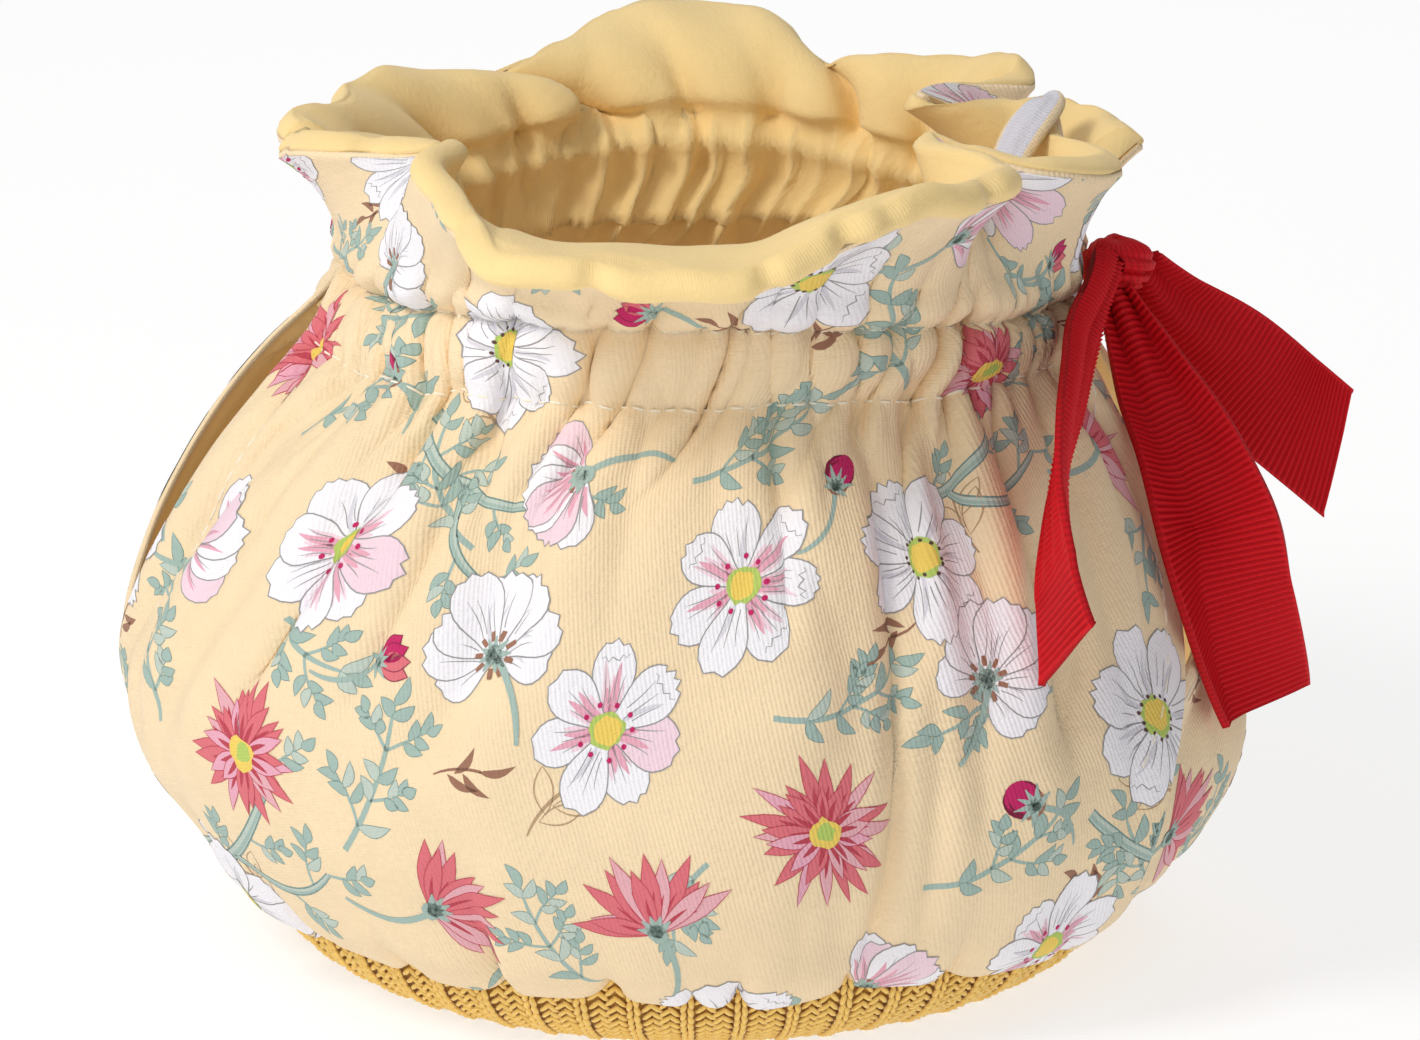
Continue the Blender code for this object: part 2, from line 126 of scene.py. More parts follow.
# The collar's printed edge from the spout seam round the front to the handle slit, and the
# angle of the neck that each place rises from.
Rim = namedtuple("Rim", "x y z neck")
FRONT_RIM = [Rim(*row) for row in (
    # rows 0 to 3: the wing beside the spout
    (-63, -0.7, 129.5, -89.6), (-64, -9, 131, -84), (-58.5, -19, 133.5, -77), (-49, -26, 134.5, -69),
    # rows 4 to 6: the left pleat
    (-38.5, -30.5, 135.5, -60), (-40.5, -43.5, 135, -52), (-36.5, -60, 133, -43),
    # rows 7 to 13: the front's lobes
    (-30, -75.5, 129.5, -32), (-20, -80, 130, -23), (-8, -82, 129, -12), (7, -82.5, 128.5, 0),
    (17, -78, 132.5, 9), (28, -71, 136, 17), (39, -60, 135.5, 28),
    # rows 14 to 17: the right pleat
    (47, -46, 134.5, 39), (36.5, -27, 134.5, 48.5), (38.5, -22.5, 134.5, 51.5),
    (52, -32.5, 133.5, 58.5),
    # rows 18 to 21: the lobe, the pocket and the corner at the handle slit
    (64.5, -21, 130.5, 68), (62.5, -12, 130.5, 73.5), (56.5, -3, 130.5, 79.5), (55.5, 7.5, 134, 86),
)]
# The same from the handle slit round the back to the spout seam.
BACK_RIM = [Rim(*row) for row in (
    # rows 0 to 3: the corner and the lobe behind the tie
    (69.5, 1, 129, 92.5), (64.5, 15.5, 129.5, 98), (57.5, 22.5, 129, 104), (49.5, 24.5, 129, 110),
    # rows 4 to 7: the pleat
    (37.5, 17.5, 130.5, 115), (35, 22.5, 130.5, 118.5), (41.5, 31.5, 130, 122), (53.5, 38.5, 129, 127),
    # rows 8 to 9: the right lobe
    (52, 47, 129.5, 132), (39.5, 51.5, 129, 140),
    # rows 10 to 11: the right fold
    (28, 56.5, 128, 148), (21, 61, 128, 154.5),
    # rows 12 to 14: the back's lobe
    (15.5, 69.5, 129.5, 161), (5.5, 77.5, 130.5, 169), (-12.5, 78.5, 129.5, 184),
    # rows 15 to 19: the left fold and lobe
    (-22.5, 65, 127.5, 196), (-34, 55, 127.5, 207), (-48, 49, 127.5, 221), (-57, 33, 128.5, 238),
    (-57.5, 20, 129.5, 250),
    # rows 20 to 21: the wing beside the spout
    (-65, 9, 130.5, 262), (-64, 0.7, 129.5, 269.6),
)]

# Long soft folds of the body, by the direction of their two ends: troughs have a negative depth.
FOLD_TOP, FOLD_FADE = 104.0, 14.0       # the height of their upper ends, and how far they fade out
Fold = namedtuple("Fold", "top bottom depth width z_low z_high")
FOLDS = [Fold(*row) for row in (
    (25, 19, -2.6, 5.5, 8, 104), (15, 10, 1.2, 6, 20, 100), (-37, -92, -2.4, 5, 34, 104),
    (-56, -84, 1.5, 6, 20, 96), (-74, -76, -1.6, 4, 12, 40), (-28, -26, -1.2, 5, 8, 50),
    (50, 43, -2.3, 4.5, 8, 104), (2, 2, -1, 5, 8, 30), (116, 112, -2.2, 6, 10, 104),
    (150, 155, -2, 5, 8, 104), (183, 178, -1.6, 6, 8, 80), (214, 220, -2.2, 5, 20, 104),
    (245, 240, -1.5, 6, 8, 90),
)]
# Narrow creases that run down from the gathers, finer than the solids show.
CREASES = [Fold(*row) for row in (
    (25.5, 19.5, -2, 1.4, 6, 124), (11.5, 8, -1.8, 1.3, 66, 124), (17.5, 14, -1.3, 1.2, 82, 124),
    (22.6, 16.8, 1.1, 2, 14, 103), (29, 25.4, -1.1, 1.5, 12, 70), (34, 31, -1.4, 1.9, 30, 124),
    (41, 38, 1, 2.6, 30, 103), (45.5, 42.5, -1.7, 1.4, 40, 124), (60, 47, -1.4, 2, 24, 103),
    (-38, -68, -2.4, 1.6, 48, 124), (-43.5, -75, 1.7, 2.2, 40, 103), (-66, -80, -1.4, 2, 30, 100),
    (-29, -50, -1.9, 1.5, 52, 124), (-16, -28, -1.5, 1.7, 62, 124), (-52, -80, -1.6, 1.7, 58, 118),
    (3, 1, -0.6, 2, 78, 103), (13, 10.4, -0.7, 1.5, 8, 40), (106, 102, -0.9, 1.8, 40, 103),
    (128, 126, -1.1, 1.8, 10, 103), (139, 144, 0.8, 2.6, 30, 103), (164, 168, -1, 1.7, 20, 103),
    (196, 199, -1.2, 1.6, 8, 103), (206, 206, 0.8, 2.4, 40, 103), (229, 233, -1, 1.8, 20, 103),
    (252, 258, -0.9, 1.8, 50, 100),
)]

# Deep folds of the collar, seen as troughs in its lining: their places at the rim and in the channel,
# in rows of the rim's table.
CollarFold = namedtuple("CollarFold", "top foot depth width reach")
FRONT_COLLAR_FOLDS = [CollarFold(*row) for row in (
    (2.4, 2.8, 3, 3, 16), (5.6, 5, 4, 3, 15), (8, 8.6, 3.5, 3, 16), (11, 10.4, 4, 3, 15),
    (13.6, 13.2, 4.5, 3, 18), (18.4, 18, 3, 3, 16),
)]
BACK_COLLAR_FOLDS = [CollarFold(*row) for row in (
    (2, 2.2, 3, 3, 16), (8.8, 9.2, 4.5, 2.6, 14), (11, 10.7, 9, 2.6, 28), (12.4, 12.9, 5, 4, 15),
    (14, 13.7, 5.5, 3.6, 17), (16.1, 14.5, 10.5, 4, 29), (16.3, 16.2, 6, 1.8, 13),
    (17.8, 17.2, 7, 3.4, 20), (19.4, 19, 5, 2.6, 15),
)]


# ---------------------------------------------------------------- colours, as linear light
COTTON = (0.90, 0.71, 0.46)
LINING_COLOUR = (0.95, 0.71, 0.33)
KNIT_COLOUR = (0.95, 0.64, 0.18)
# painted shade: the dark plain body under the stitches, showing as shade in the gaps between them
KNIT_SHADE = (0.50, 0.26, 0.05)
RIBBON_COLOUR = (0.62, 0.006, 0.013)
# painted highlight for the ribs' crests and painted shade for their grooves
RIB_PAINTED_HIGHLIGHT, RIB_PAINTED_SHADE = (0.68, 0.008, 0.016), (0.52, 0.004, 0.010)
THREAD_COLOUR = (0.93, 0.86, 0.70)
INKS = {
    "grey_line": (0.33, 0.32, 0.32),
    "white": (0.90, 0.88, 0.92),
    "white_shade": (0.70, 0.68, 0.74),
    "pink_pale": (0.88, 0.66, 0.74),
    "pink": (0.80, 0.40, 0.50),
    "pink_deep": (0.68, 0.22, 0.34),
    "coral_pale": (0.78, 0.42, 0.46),
    "coral": (0.72, 0.17, 0.20),
    "coral_deep": (0.50, 0.06, 0.09),
    "magenta": (0.55, 0.02, 0.13),
    "wine": (0.22, 0.015, 0.05),
    "teal_pale": (0.52, 0.60, 0.53),
    "teal": (0.37, 0.49, 0.44),
    "teal_deep": (0.20, 0.31, 0.28),
    "brown": (0.34, 0.17, 0.11),
    "brown_dark": (0.12, 0.06, 0.05),
    "tan_line": (0.50, 0.34, 0.20),
    "yellow": (0.86, 0.62, 0.13),
    "lime": (0.46, 0.60, 0.14),
}


# ---------------------------------------------------------------- small helpers
def place(points):
    return (np.asarray(points, float) + BOX_SHIFT) * MM


def smooth_step(low, high, value):
    t = np.clip((value - low) / (high - low), 0.0, 1.0)
    return t * t * (3.0 - 2.0 * t)


def run_along(path):
    """The length of a path up to each of its points."""
    return np.concatenate([[0.0], np.cumsum(np.linalg.norm(np.diff(path, axis=0), axis=1))])


def full_turn(count):
    """Directions evenly round a circle, in radians."""
    return np.linspace(0.0, 2.0 * math.pi, count, endpoint=False)


def table(rows, at):
    """Reads a table of pairs, evenly between its rows."""
    return np.interp(at, [row[0] for row in rows], [row[1] for row in rows])


def bell(off, width):
    """One where off is nothing, and fading out within about twice the width."""
    return np.exp(-((off / width) ** 2))


def ridge(at, height, middle, width):
    """A rounded ridge with its crest at middle."""
    return height * bell(at - middle, width)


def curve(rows, at):
    """The Catmull-Rom curve through rows, at places counted in rows."""
    rows = np.asarray(rows, float)
    last = len(rows) - 1
    span = np.clip(np.floor(at).astype(int), 0, last - 1)
    t = (at - span)[..., None]
    p, q, r, s = (rows[np.clip(span + k, 0, last)] for k in (-1, 0, 1, 2))
    square = 2 * p - 5 * q + 4 * r - s
    cube = 3 * q - p - 3 * r + s
    return 0.5 * (2 * q + (r - p) * t + square * t**2 + cube * t**3)


def even_places(rows, spacing, dense=400):
    """Places along the curve through rows that are evenly spaced by its length."""
    at = np.linspace(0.0, len(rows) - 1.0, dense)
    run = run_along(curve(rows, at))
    count = max(2, round(run[-1] / spacing) + 1)
    return np.interp(np.linspace(0.0, run[-1], count), run, at)


def unit(vectors):
    return vectors / np.maximum(np.linalg.norm(vectors, axis=-1, keepdims=True), 1e-9)


def grid_normals(points):
    """Directions out of a grid of points, from its slopes across and up."""
    return unit(np.cross(np.gradient(points, axis=0), np.gradient(points, axis=1)))


def soften(grid, times):
    """Averages a grid with its neighbours across and up."""
    for _ in range(times):
        wide = np.concatenate([grid[:1], grid, grid[-1:]])
        grid = (wide[:-2] + 2 * grid + wide[2:]) / 4
        tall = np.concatenate([grid[:, :1], grid, grid[:, -1:]], axis=1)
        grid = (tall[:, :-2] + 2 * grid + tall[:, 2:]) / 4
    return grid


def new_piece(name, points, faces, materials, tones=None, flat_map=None, normals=None):
    """A mesh from points in millimetres. flat_map and normals hold one row for each point."""
    mesh = bpy.data.meshes.new(name)
    mesh.from_pydata(place(points).tolist(), [], faces)
    for made in materials:
        mesh.materials.append(made)
    if tones is not None:
        mesh.polygons.foreach_set("material_index", np.asarray(tones, np.int32))
    if flat_map is not None:
        index = np.empty(len(mesh.loops), np.int32)
        mesh.loops.foreach_get("vertex_index", index)
        corners = np.asarray(flat_map, np.float32)[index]
        mesh.uv_layers.new(name="OFBake").data.foreach_set("uv", corners.ravel())
    mesh.shade_smooth()
    if normals is not None:
        mesh.normals_split_custom_set_from_vertices(np.asarray(normals, float).tolist())
    mesh.update()
    obj = bpy.data.objects.new(name, mesh)
    bpy.context.scene.collection.objects.link(obj)
    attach(obj, "root")
    return obj


def sweep_faces(wide, loop, closed=False):
    """Faces between loops of points, with two end caps or closed on themselves."""
    i, j = np.meshgrid(np.arange(wide if closed else wide - 1), np.arange(loop), indexing="ij")
    m, n = (i + 1) % wide, (j + 1) % loop
    corners = [i * loop + j, m * loop + j, m * loop + n, i * loop + n]
    faces = np.stack(corners, -1).reshape(-1, 4).tolist()
    caps = [list(range(loop)), list(range((wide - 1) * loop, wide * loop))[::-1]]
    return faces if closed else faces + caps


def facing_out(points, faces):
    """The faces of a closed mesh, turned so that they all look out of it."""
    fans = [(face[0], face[k], face[k + 1]) for face in faces for k in range(1, len(face) - 1)]
    a, b, c = (points[corners] for corners in np.array(fans).T)
    return faces if np.sum(a * np.cross(b, c)) > 0.0 else [face[::-1] for face in faces]


def flat_grid(x, y):
    """Places on the flat map for a grid of points, from millimetres along its two sides."""
    return np.stack(np.meshgrid(x, y, indexing="ij"), -1).reshape(-1, 2) / MAP_SPAN


def swept_piece(name, loops, materials, flat_map, tones=None):
    """A closed piece from loops of points."""
    points = loops.reshape(-1, 3)
    faces = facing_out(points, sweep_faces(*loops.shape[:2]))
    return new_piece(name, points, faces, materials, tones, flat_map)


# ---------------------------------------------------------------- materials
def settle(made, values):
    """Constants, set on a shader node's own sockets."""
    for key, value in values.items():
        made.inputs[key].default_value = value


def new_material(name, colour, roughness, sheen=0.0, gloss=0.25):
    made = bpy.data.materials.new(name)
    made.use_nodes = True
    settle(made.node_tree.nodes["Principled BSDF"], {
        "Base Color": (*colour, 1.0), "Roughness": roughness, "Metallic": 0.0,
        "Specular IOR Level": gloss, "Sheen Weight": sheen, "Sheen Roughness": 0.4,
    })
    return made


def node(tree, kind, values=(), sources=(), **settings):
    """A node with its settings, the values of its sockets and the outputs that feed them."""
    made = tree.nodes.new("ShaderNode" + kind)
    for key, value in settings.items():
        setattr(made, key, value)
    settle(made, dict(values))
    feed(tree, made, sources)
    return made


def feed(tree, made, sources):
    """Links outputs, given as node and name, to a node's sockets."""
    for key, (source, output) in dict(sources).items():
        tree.links.new(source.outputs[output], made.inputs[key])


def flat_place(tree, turn=0.0):
    """Places on the flat cloth in millimetres, turned by some degrees."""
    flat = node(tree, "UVMap", uv_map="OFBake")
    values = {"Scale": (MAP_SPAN, MAP_SPAN, 1.0), "Rotation": (0.0, 0.0, math.radians(turn))}
    return node(tree, "Mapping", values, {"Vector": (flat, "UV")})


def bands(tree, place_node, direction, pitch, distortion=0.0, detail=1.0):
    """Parallel lines a pitch apart, in millimetres."""
    values = {"Scale": 2.0 * math.pi / (20.0 * pitch), "Distortion": distortion, "Detail Scale": detail}
    return node(
        tree, "TexWave", values, {"Vector": (place_node, "Vector")},
        wave_type="BANDS", bands_direction=direction,
    )


def bump_with(tree, height, strength, distance):
    """Drives the shader's normal from a height, at a distance in millimetres."""
    bump = node(tree, "Bump", {"Strength": strength, "Distance": distance * MM}, {"Height": height})
    feed(tree, tree.nodes["Principled BSDF"], {"Normal": (bump, "Normal")})


def colour_with(tree, amount, low, high, span=(0.0, 1.0)):
    """Drives the shader's colour from an amount, from low to high over a span of it."""
    ramp = node(tree, "ValToRGB", sources={"Fac": amount})
    for element, colour, at in zip(ramp.color_ramp.elements, (low, high), span):
        element.position = at
        element.color = (*colour, 1.0)
    feed(tree, tree.nodes["Principled BSDF"], {"Base Color": (ramp, "Color")})


def twill_bump(material, wale=0.7, turn=-14.0, depth=0.12, slub=0.04):
    """Diagonal twill lines with finer cross yarns, from the flat map."""
    tree = material.node_tree
    slanted = flat_place(tree, turn)
    wales = bands(tree, slanted, "X", wale, 1.6, 0.5)
    yarns = bands(tree, slanted, "Y", wale * 0.7, 1.0)
    noise = node(tree, "TexNoise", {"Scale": 0.9, "Detail": 4.0}, {"Vector": (slanted, "Vector")})
    both = node(
        tree, "Math", {1: 0.45}, {0: (yarns, "Fac"), 2: (wales, "Fac")}, operation="MULTIPLY_ADD"
    )
    rough = node(
        tree, "Math", {1: slub / depth * 10.0}, {0: (noise, "Fac"), 2: (both, 0)},
        operation="MULTIPLY_ADD",
    )
    bump_with(tree, (rough, 0), 0.6, depth)


def tint(material, scale, low, high):
    """Slow uneven tint of the base colour, from low to high."""
    tree = material.node_tree
    flat = node(tree, "UVMap", uv_map="OFBake")
    values = {"Scale": scale * MAP_SPAN, "Detail": 5.0, "Roughness": 0.6}
    noise = node(tree, "TexNoise", values, {"Vector": (flat, "UV")})
    colour_with(tree, (noise, "Fac"), low, high, (0.3, 0.7))


def shades(colour, low, high):
    """A darker and a lighter shade of a colour."""
    return [tuple(min(1.0, c * k) for c in colour) for k in (low, high)]


cotton = new_material("printed_cotton", COTTON, 0.82, sheen=0.15)
twill_bump(cotton)
tint(cotton, 0.12, *shades(COTTON, 0.97, 1.03))
lining_cotton = new_material("lining_cotton", LINING_COLOUR, 0.85, sheen=0.2)
twill_bump(lining_cotton, wale=0.4, turn=5.0, depth=0.05, slub=0.03)
tint(lining_cotton, 0.1, *shades(LINING_COLOUR, 0.97, 1.03))
thread = new_material("sewing_thread", THREAD_COLOUR, 0.6, sheen=0.1)
ink_materials = []
for ink_name, ink_colour in INKS.items():
    ink = new_material("ink_" + ink_name, ink_colour, 0.8, sheen=0.1)
    twill_bump(ink)
    ink_materials.append(ink)
INK_INDEX = {ink_name: k for k, ink_name in enumerate(INKS)}


# ---------------------------------------------------------------- the cloth's surface
def around(angle, front, right, back, left):
    """Blends four values, one for each side, by the direction."""
    c, s = np.cos(np.radians(angle)), np.sin(np.radians(angle))
    along = np.where(c > 0, front, back)
    across = np.where(s > 0, right, left)
    return along * c * c + across * s * s


def fold_depth(folds, angle, height):
    """How far the main folds move the body's surface in or out."""
    total = np.zeros_like(height)
    for fold in folds:
        middle = fold.bottom + (fold.top - fold.bottom) * np.clip(height / FOLD_TOP, 0.0, 1.0)
        fade = smooth_step(fold.z_low, fold.z_low + FOLD_FADE, height)
        fade = fade * (1.0 - smooth_step(fold.z_high - FOLD_FADE, fold.z_high, height))
        total += fold.depth * bell(angle - middle, fold.width) * fade
    return total


def body_points(angle, level, is_back):
    """The middle surface below the collar, for grids of angles and levels."""
    rows = curve(LEVELS, level)
    height, radius = (around(angle, *np.moveaxis(rows[..., k::2], -1, 0)) for k in (0, 1))
    radius = radius + fold_depth(FOLDS, angle, height) + fold_depth(CREASES, angle, height)
    lap = np.clip(LAP_LEVEL - level, 0.0, 1.0)
    if is_back:
        radius -= LAP_DROP * lap * (1.0 - smooth_step(DROP_TO, DROP_FROM, angle))
    else:
        radius += LAP_LIFT * lap * smooth_step(LIFT_FROM, LIFT_TO, angle)
    turn = np.radians(angle)
    return np.stack([radius * np.sin(turn), -radius * np.cos(turn), height], axis=-1)


WAVE_COUNT = 14
Puckers = namedtuple("Puckers", "x depth width reach lean skew")


def make_puckers(rng, last, valleys):
    """Uneven valleys along a line of some length."""
    places, at = [], valleys.pitch * 0.5
    while at < last:
        places.append(at)
        at += valleys.pitch * rng.uniform(0.35, 1.85)
    count = len(places)
    long = rng.random(count) < 0.3
    return Puckers(
        np.array(places),
        valleys.depth * rng.uniform(0.3, 1.4, count),
        valleys.width * rng.uniform(0.75, 1.3, count),
        valleys.reach * np.where(long, rng.uniform(2.0, 4.2, count), rng.uniform(0.5, 1.3, count)),
        rng.uniform(-valleys.lean, valleys.lean, count),
        rng.uniform(-0.6, 0.6, count),
    )


def pucker_depth(puckers, across, away, spread=22.0):
    """How far the valleys draw the cloth in, at a distance away from the stitches."""
    total = np.zeros(np.broadcast(across, away).shape)
    for x, depth, width, reach, lean, skew in zip(*puckers):
        side = across - x - lean * away
        wide = width * (1.0 + away / spread) * (1.0 + skew * np.tanh(side / width))
        off = np.abs(side) / wide
        total += depth * np.exp(-(off ** 1.5)) * np.exp(-((away / reach) ** 1.4))
    return total


def soft_waves(rng, across, up, size, shortest, longest):
    """Low random waves, longer up the cloth than across it."""
    total = np.zeros(np.broadcast(across, up).shape)
    for _ in range(WAVE_COUNT):
        length = rng.uniform(shortest, longest)
        lean, phase = rng.uniform(-0.5, 0.5), rng.uniform(0.0, 2.0 * math.pi)
        total += np.sin(2.0 * math.pi * (across + lean * up) / length + phase)
    return size * total / math.sqrt(WAVE_COUNT)


def collar_fold_depth(folds, rim_rows, across, y):
    """Depth of the collar's folds over the grid: none below the channel's head."""
    above = np.maximum(0.0, y - CHANNEL_HEAD)
    share = np.clip(above / COLLAR_HEIGHT, 0.0, 1.0)
    total = np.zeros((len(across), y.shape[1]))
    for fold in folds:
        foot, head = np.interp([fold.foot, fold.top], rim_rows, across)
        off = np.abs(across[:, None] - foot - (head - foot) * share) / (fold.width * (1.0 + above / 16.0))
        total += fold.depth * np.exp(-(off ** 1.5)) * np.exp(-((above / fold.reach) ** 2.4))
    return total


Cloth = namedtuple("Cloth", "across up level rim_rows flat_x outer inner")


def row_levels():
    """Levels of the grid's rows, evenly spaced up the front of the cosy, and their heights on the cloth."""
    body = [(row.rf, row.zf) for row in LEVELS]
    at = even_places(body, ROW_PITCH)
    run = run_along(curve(body, at))
    collar_rows = round(COLLAR_HEIGHT / ROW_PITCH)
    collar = np.arange(1, collar_rows + 1) / collar_rows
    levels = np.concatenate([at, CHANNEL_TOP + collar])
    heights = np.concatenate([run, run[-1] + collar * COLLAR_HEIGHT])
    return levels, heights


ROW_LEVELS, ROW_HEIGHTS = row_levels()
CHANNEL_FOOT = float(np.interp(CHANNEL_LOW, ROW_LEVELS, ROW_HEIGHTS))
CHANNEL_HEAD = float(np.interp(CHANNEL_TOP, ROW_LEVELS, ROW_HEIGHTS))


def panel_form(rim, is_back, width):
    """A panel before its gathers: places along the rim, shares of the width, flat places and surface."""
    at = even_places([row[:3] for row in rim], PITCH)
    found = curve(rim, at)
    first, last = rim[0].neck, rim[-1].neck
    neck_share = (found[:, 3] - first) / (last - first)
    rim_share = np.linspace(0.0, 1.0, len(at))
    even_share = RIM_SHARE * rim_share + (1.0 - RIM_SHARE) * neck_share

    level = np.minimum(ROW_LEVELS, CHANNEL_TOP)[None, :]
    fan = smooth_step(FAN_FROM, FAN_TO, level)
    share = neck_share[:, None] * fan + even_share[:, None] * (1.0 - fan)
    start, end = curve(EDGES, level[0]).T[2 if is_back else 0:][:2]
    angle = start[None, :] + (end - start)[None, :] * share
    spout, handle = curve([(row.rl, row.rr) for row in LEVELS], level[0]).T
    first_radius, last_radius = (handle, spout) if is_back else (spout, handle)
    left = np.radians(start - start[0]) * first_radius
    right = width + np.radians(end - end[0]) * last_radius
    flat_x = left[None, :] + (right - left)[None, :] * even_share[:, None]

    base = body_points(angle, np.broadcast_to(level, angle.shape), is_back)
    v = np.clip(ROW_LEVELS - CHANNEL_TOP, 0.0, 1.0)[None, :, None]
    neck = base[:, -1:, :]
    control = neck + np.array([0.0, 0.0, COLLAR_RISE])
    collar = (1 - v) ** 2 * neck + 2 * v * (1 - v) * control + v * v * found[:, None, :3]
    return at, even_share, flat_x, np.where(ROW_LEVELS[None, :, None] > CHANNEL_TOP, collar, base)


def printed_cloth(rim, is_back, width, seed, depths, slants, collar_folds, fold_share):
    """Surfaces of one panel. depths and slants list how deep and how slanting the gathers are across it."""
    rng = np.random.default_rng(seed)
    at, even_share, flat_x, base = panel_form(rim, is_back, width)
    base_normals = grid_normals(soften(base, 2))
    across = even_share * width
    x, y = across[:, None], ROW_HEIGHTS[None, :]
    below, above = np.maximum(0.0, CHANNEL_FOOT - y), np.maximum(0.0, y - CHANNEL_HEAD)
    from_foot, from_head = np.abs(y - CHANNEL_FOOT), np.abs(y - CHANNEL_HEAD)
    high = smooth_step(0.0, 4.0, above)

    # what the elastic and the stitches pull in
    depth, slant = table(depths, x), table(slants, x)
    gathers = make_puckers(rng, width, GATHERS)
    aslant = x - (slant + 0.12 * np.sin(x / 11.0)) * np.maximum(y - CHANNEL_FOOT, -16.0)
    drawn = pucker_depth(gathers, aslant, below, 26.0) * bell(above, 6.0) * depth
    feet = make_puckers(rng, width, CHANNEL_FEET)
    heads = make_puckers(rng, width, CHANNEL_HEADS)
    near_foot = pucker_depth(feet, x, from_foot, 12.0)
    near_head = 1.4 * pucker_depth(heads, x, from_head, 12.0) * bell(above, 5.0)
    fans = make_puckers(rng, width, FANS)
    fanned = pucker_depth(fans, x, below, 20.0) * smooth_step(0.0, 3.0, below)
    pulled_in = drawn + (0.8 * near_foot + 0.8 * near_head + fanned) * depth
    pinch = ridge(from_foot, *FOOT_PINCH) + ridge(from_head, *HEAD_PINCH)
    hem = make_puckers(rng, width, HEM_TUCKS)
    hem_drawn = pucker_depth(hem, x, y, 12.0) * bell(y, HEM_FADE)

    # what swells out
    mid = np.clip((y - CHANNEL_FOOT) / (CHANNEL_HEAD - CHANNEL_FOOT), 0.0, 1.0)
    puff = CHANNEL_PUFF * np.sin(math.pi * mid)
    waves = soft_waves(rng, x, y * 0.4, 0.5, 22.0, 70.0)
    ripple = soft_waves(rng, x, y * 0.6, 0.4, 9.0, 26.0) * high
    turned_out = fold_share * collar_fold_depth(collar_folds, at, across, y) * smooth_step(1.0, 8.0, above)
    move = puff + ridge(above, *OVERHANG) * high + ridge(y, *HEM_SWELL)
    move = move + waves + ripple + turned_out + 0.6
    move = move - pinch - GATHERS_DEEPEST * np.tanh(pulled_in / GATHERS_DEEPEST) - hem_drawn

    # both slits have a turned and stitched edge, and the cloth is calmer there
    seam, slit = (width - x, x) if is_back else (x, width - x)
    move = move * smooth_step(0.0, 6.0, seam) * (0.35 + 0.65 * smooth_step(0.0, 8.0, slit))
    move += 0.5 * (ridge(seam, *SLIT_SWELL) - ridge(seam, *SLIT_FURROW))
    middle = base + base_normals * move[..., None]
    middle[..., 2] += 0.65 * hem_drawn + HEM_LIFT * bell(y, 8.0)
    blend = unit(0.45 * grid_normals(middle) + 0.55 * base_normals)
    outer = middle + blend * (GAP / 2 + CLOTH)
    inner = middle + blend * (GAP / 2)
    return Cloth(across, ROW_HEIGHTS, ROW_LEVELS, at, flat_x, outer, inner)


def flat_places(cloth):
    """Where each point of a panel's grid lies on the flat cloth, in millimetres."""
    return np.stack([cloth.flat_x, np.broadcast_to(cloth.up, cloth.flat_x.shape)], -1)


def cloth_piece(name, cloth):
    """The closed mesh of a panel: printed face, plain face and rounded edges."""
    wide, tall = cloth.outer.shape[:2]
    ring = [(i, 0) for i in range(wide)] + [(wide - 1, j) for j in range(1, tall)]
    ring += [(i, tall - 1) for i in range(wide - 2, -1, -1)] + [(0, j) for j in range(tall - 2, 0, -1)]
    ring = np.array(ring)
    edge_outer, edge_inner = cloth.outer[ring[:, 0], ring[:, 1]], cloth.inner[ring[:, 0], ring[:, 1]]
    inside = ring.copy()
    inside[:, 0] = np.clip(inside[:, 0], 1, wide - 2)
    inside[:, 1] = np.clip(inside[:, 1], 1, tall - 2)
    outwards = unit(edge_outer - cloth.outer[inside[:, 0], inside[:, 1]])
    edge = (edge_outer + edge_inner) / 2 + outwards * CLOTH * EDGE_ROUND
    points = np.concatenate([cloth.outer.reshape(-1, 3), cloth.inner.reshape(-1, 3), edge])
    back, rim = wide * tall, 2 * wide * tall
    i, j = np.meshgrid(np.arange(wide - 1), np.arange(tall - 1), indexing="ij")
    a, b = (i * tall + j).ravel(), ((i + 1) * tall + j).ravel()
    c, d = b + 1, a + 1
    front_faces = np.concatenate([np.stack([a, b, c], 1), np.stack([a, c, d], 1)])
    back_faces = np.concatenate([np.stack([c, b, a], 1), np.stack([d, c, a], 1)]) + back
    corner = ring[:, 0] * tall + ring[:, 1]
    here, walls = rim + np.arange(len(ring)), []
    for p, q in ((corner, here), (here, back + corner)):
        after, below = np.roll(p, -1), np.roll(q, -1)
        walls += [np.stack([after, p, q], 1), np.stack([after, q, below], 1)]
    walls = np.concatenate(walls)
    faces = np.concatenate([front_faces, back_faces, walls])
    tones = np.concatenate([np.zeros(len(front_faces)), np.ones(len(back_faces)), np.zeros(len(walls))])
    flat = flat_places(cloth).reshape(-1, 2) / MAP_SPAN
    flat_map = np.concatenate([flat, flat + [0.0, INNER_MAP_SHIFT], flat[corner]])
    return new_piece(name, points, faces.tolist(), [cotton, lining_cotton], tones, flat_map)


front = printed_cloth(
    FRONT_RIM, False, FRONT_WIDTH, seed=11,
    depths=[(0.0, 1.1), (48.0, 1.2), (84.0, 0.7), (124.0, 0.8), (143.0, 1.3), (216.0, 1.4)],
    slants=[(0.0, 0.5), (60.0, 0.5), (110.0, 0.35), (150.0, 0.1), (175.0, 0.0), (216.0, -0.35)],
    collar_folds=FRONT_COLLAR_FOLDS, fold_share=0.2,
)
back = printed_cloth(
    BACK_RIM, True, BACK_WIDTH, seed=23,
    depths=[(0.0, 1.1), (160.0, 0.9), (316.0, 1.2)],
    slants=[(0.0, 0.3), (160.0, 0.1), (316.0, -0.45)],
    collar_folds=BACK_COLLAR_FOLDS, fold_share=0.6,
)
front_piece = cloth_piece("outer_front_cloth", front)
back_piece = cloth_piece("outer_back_cloth", back)
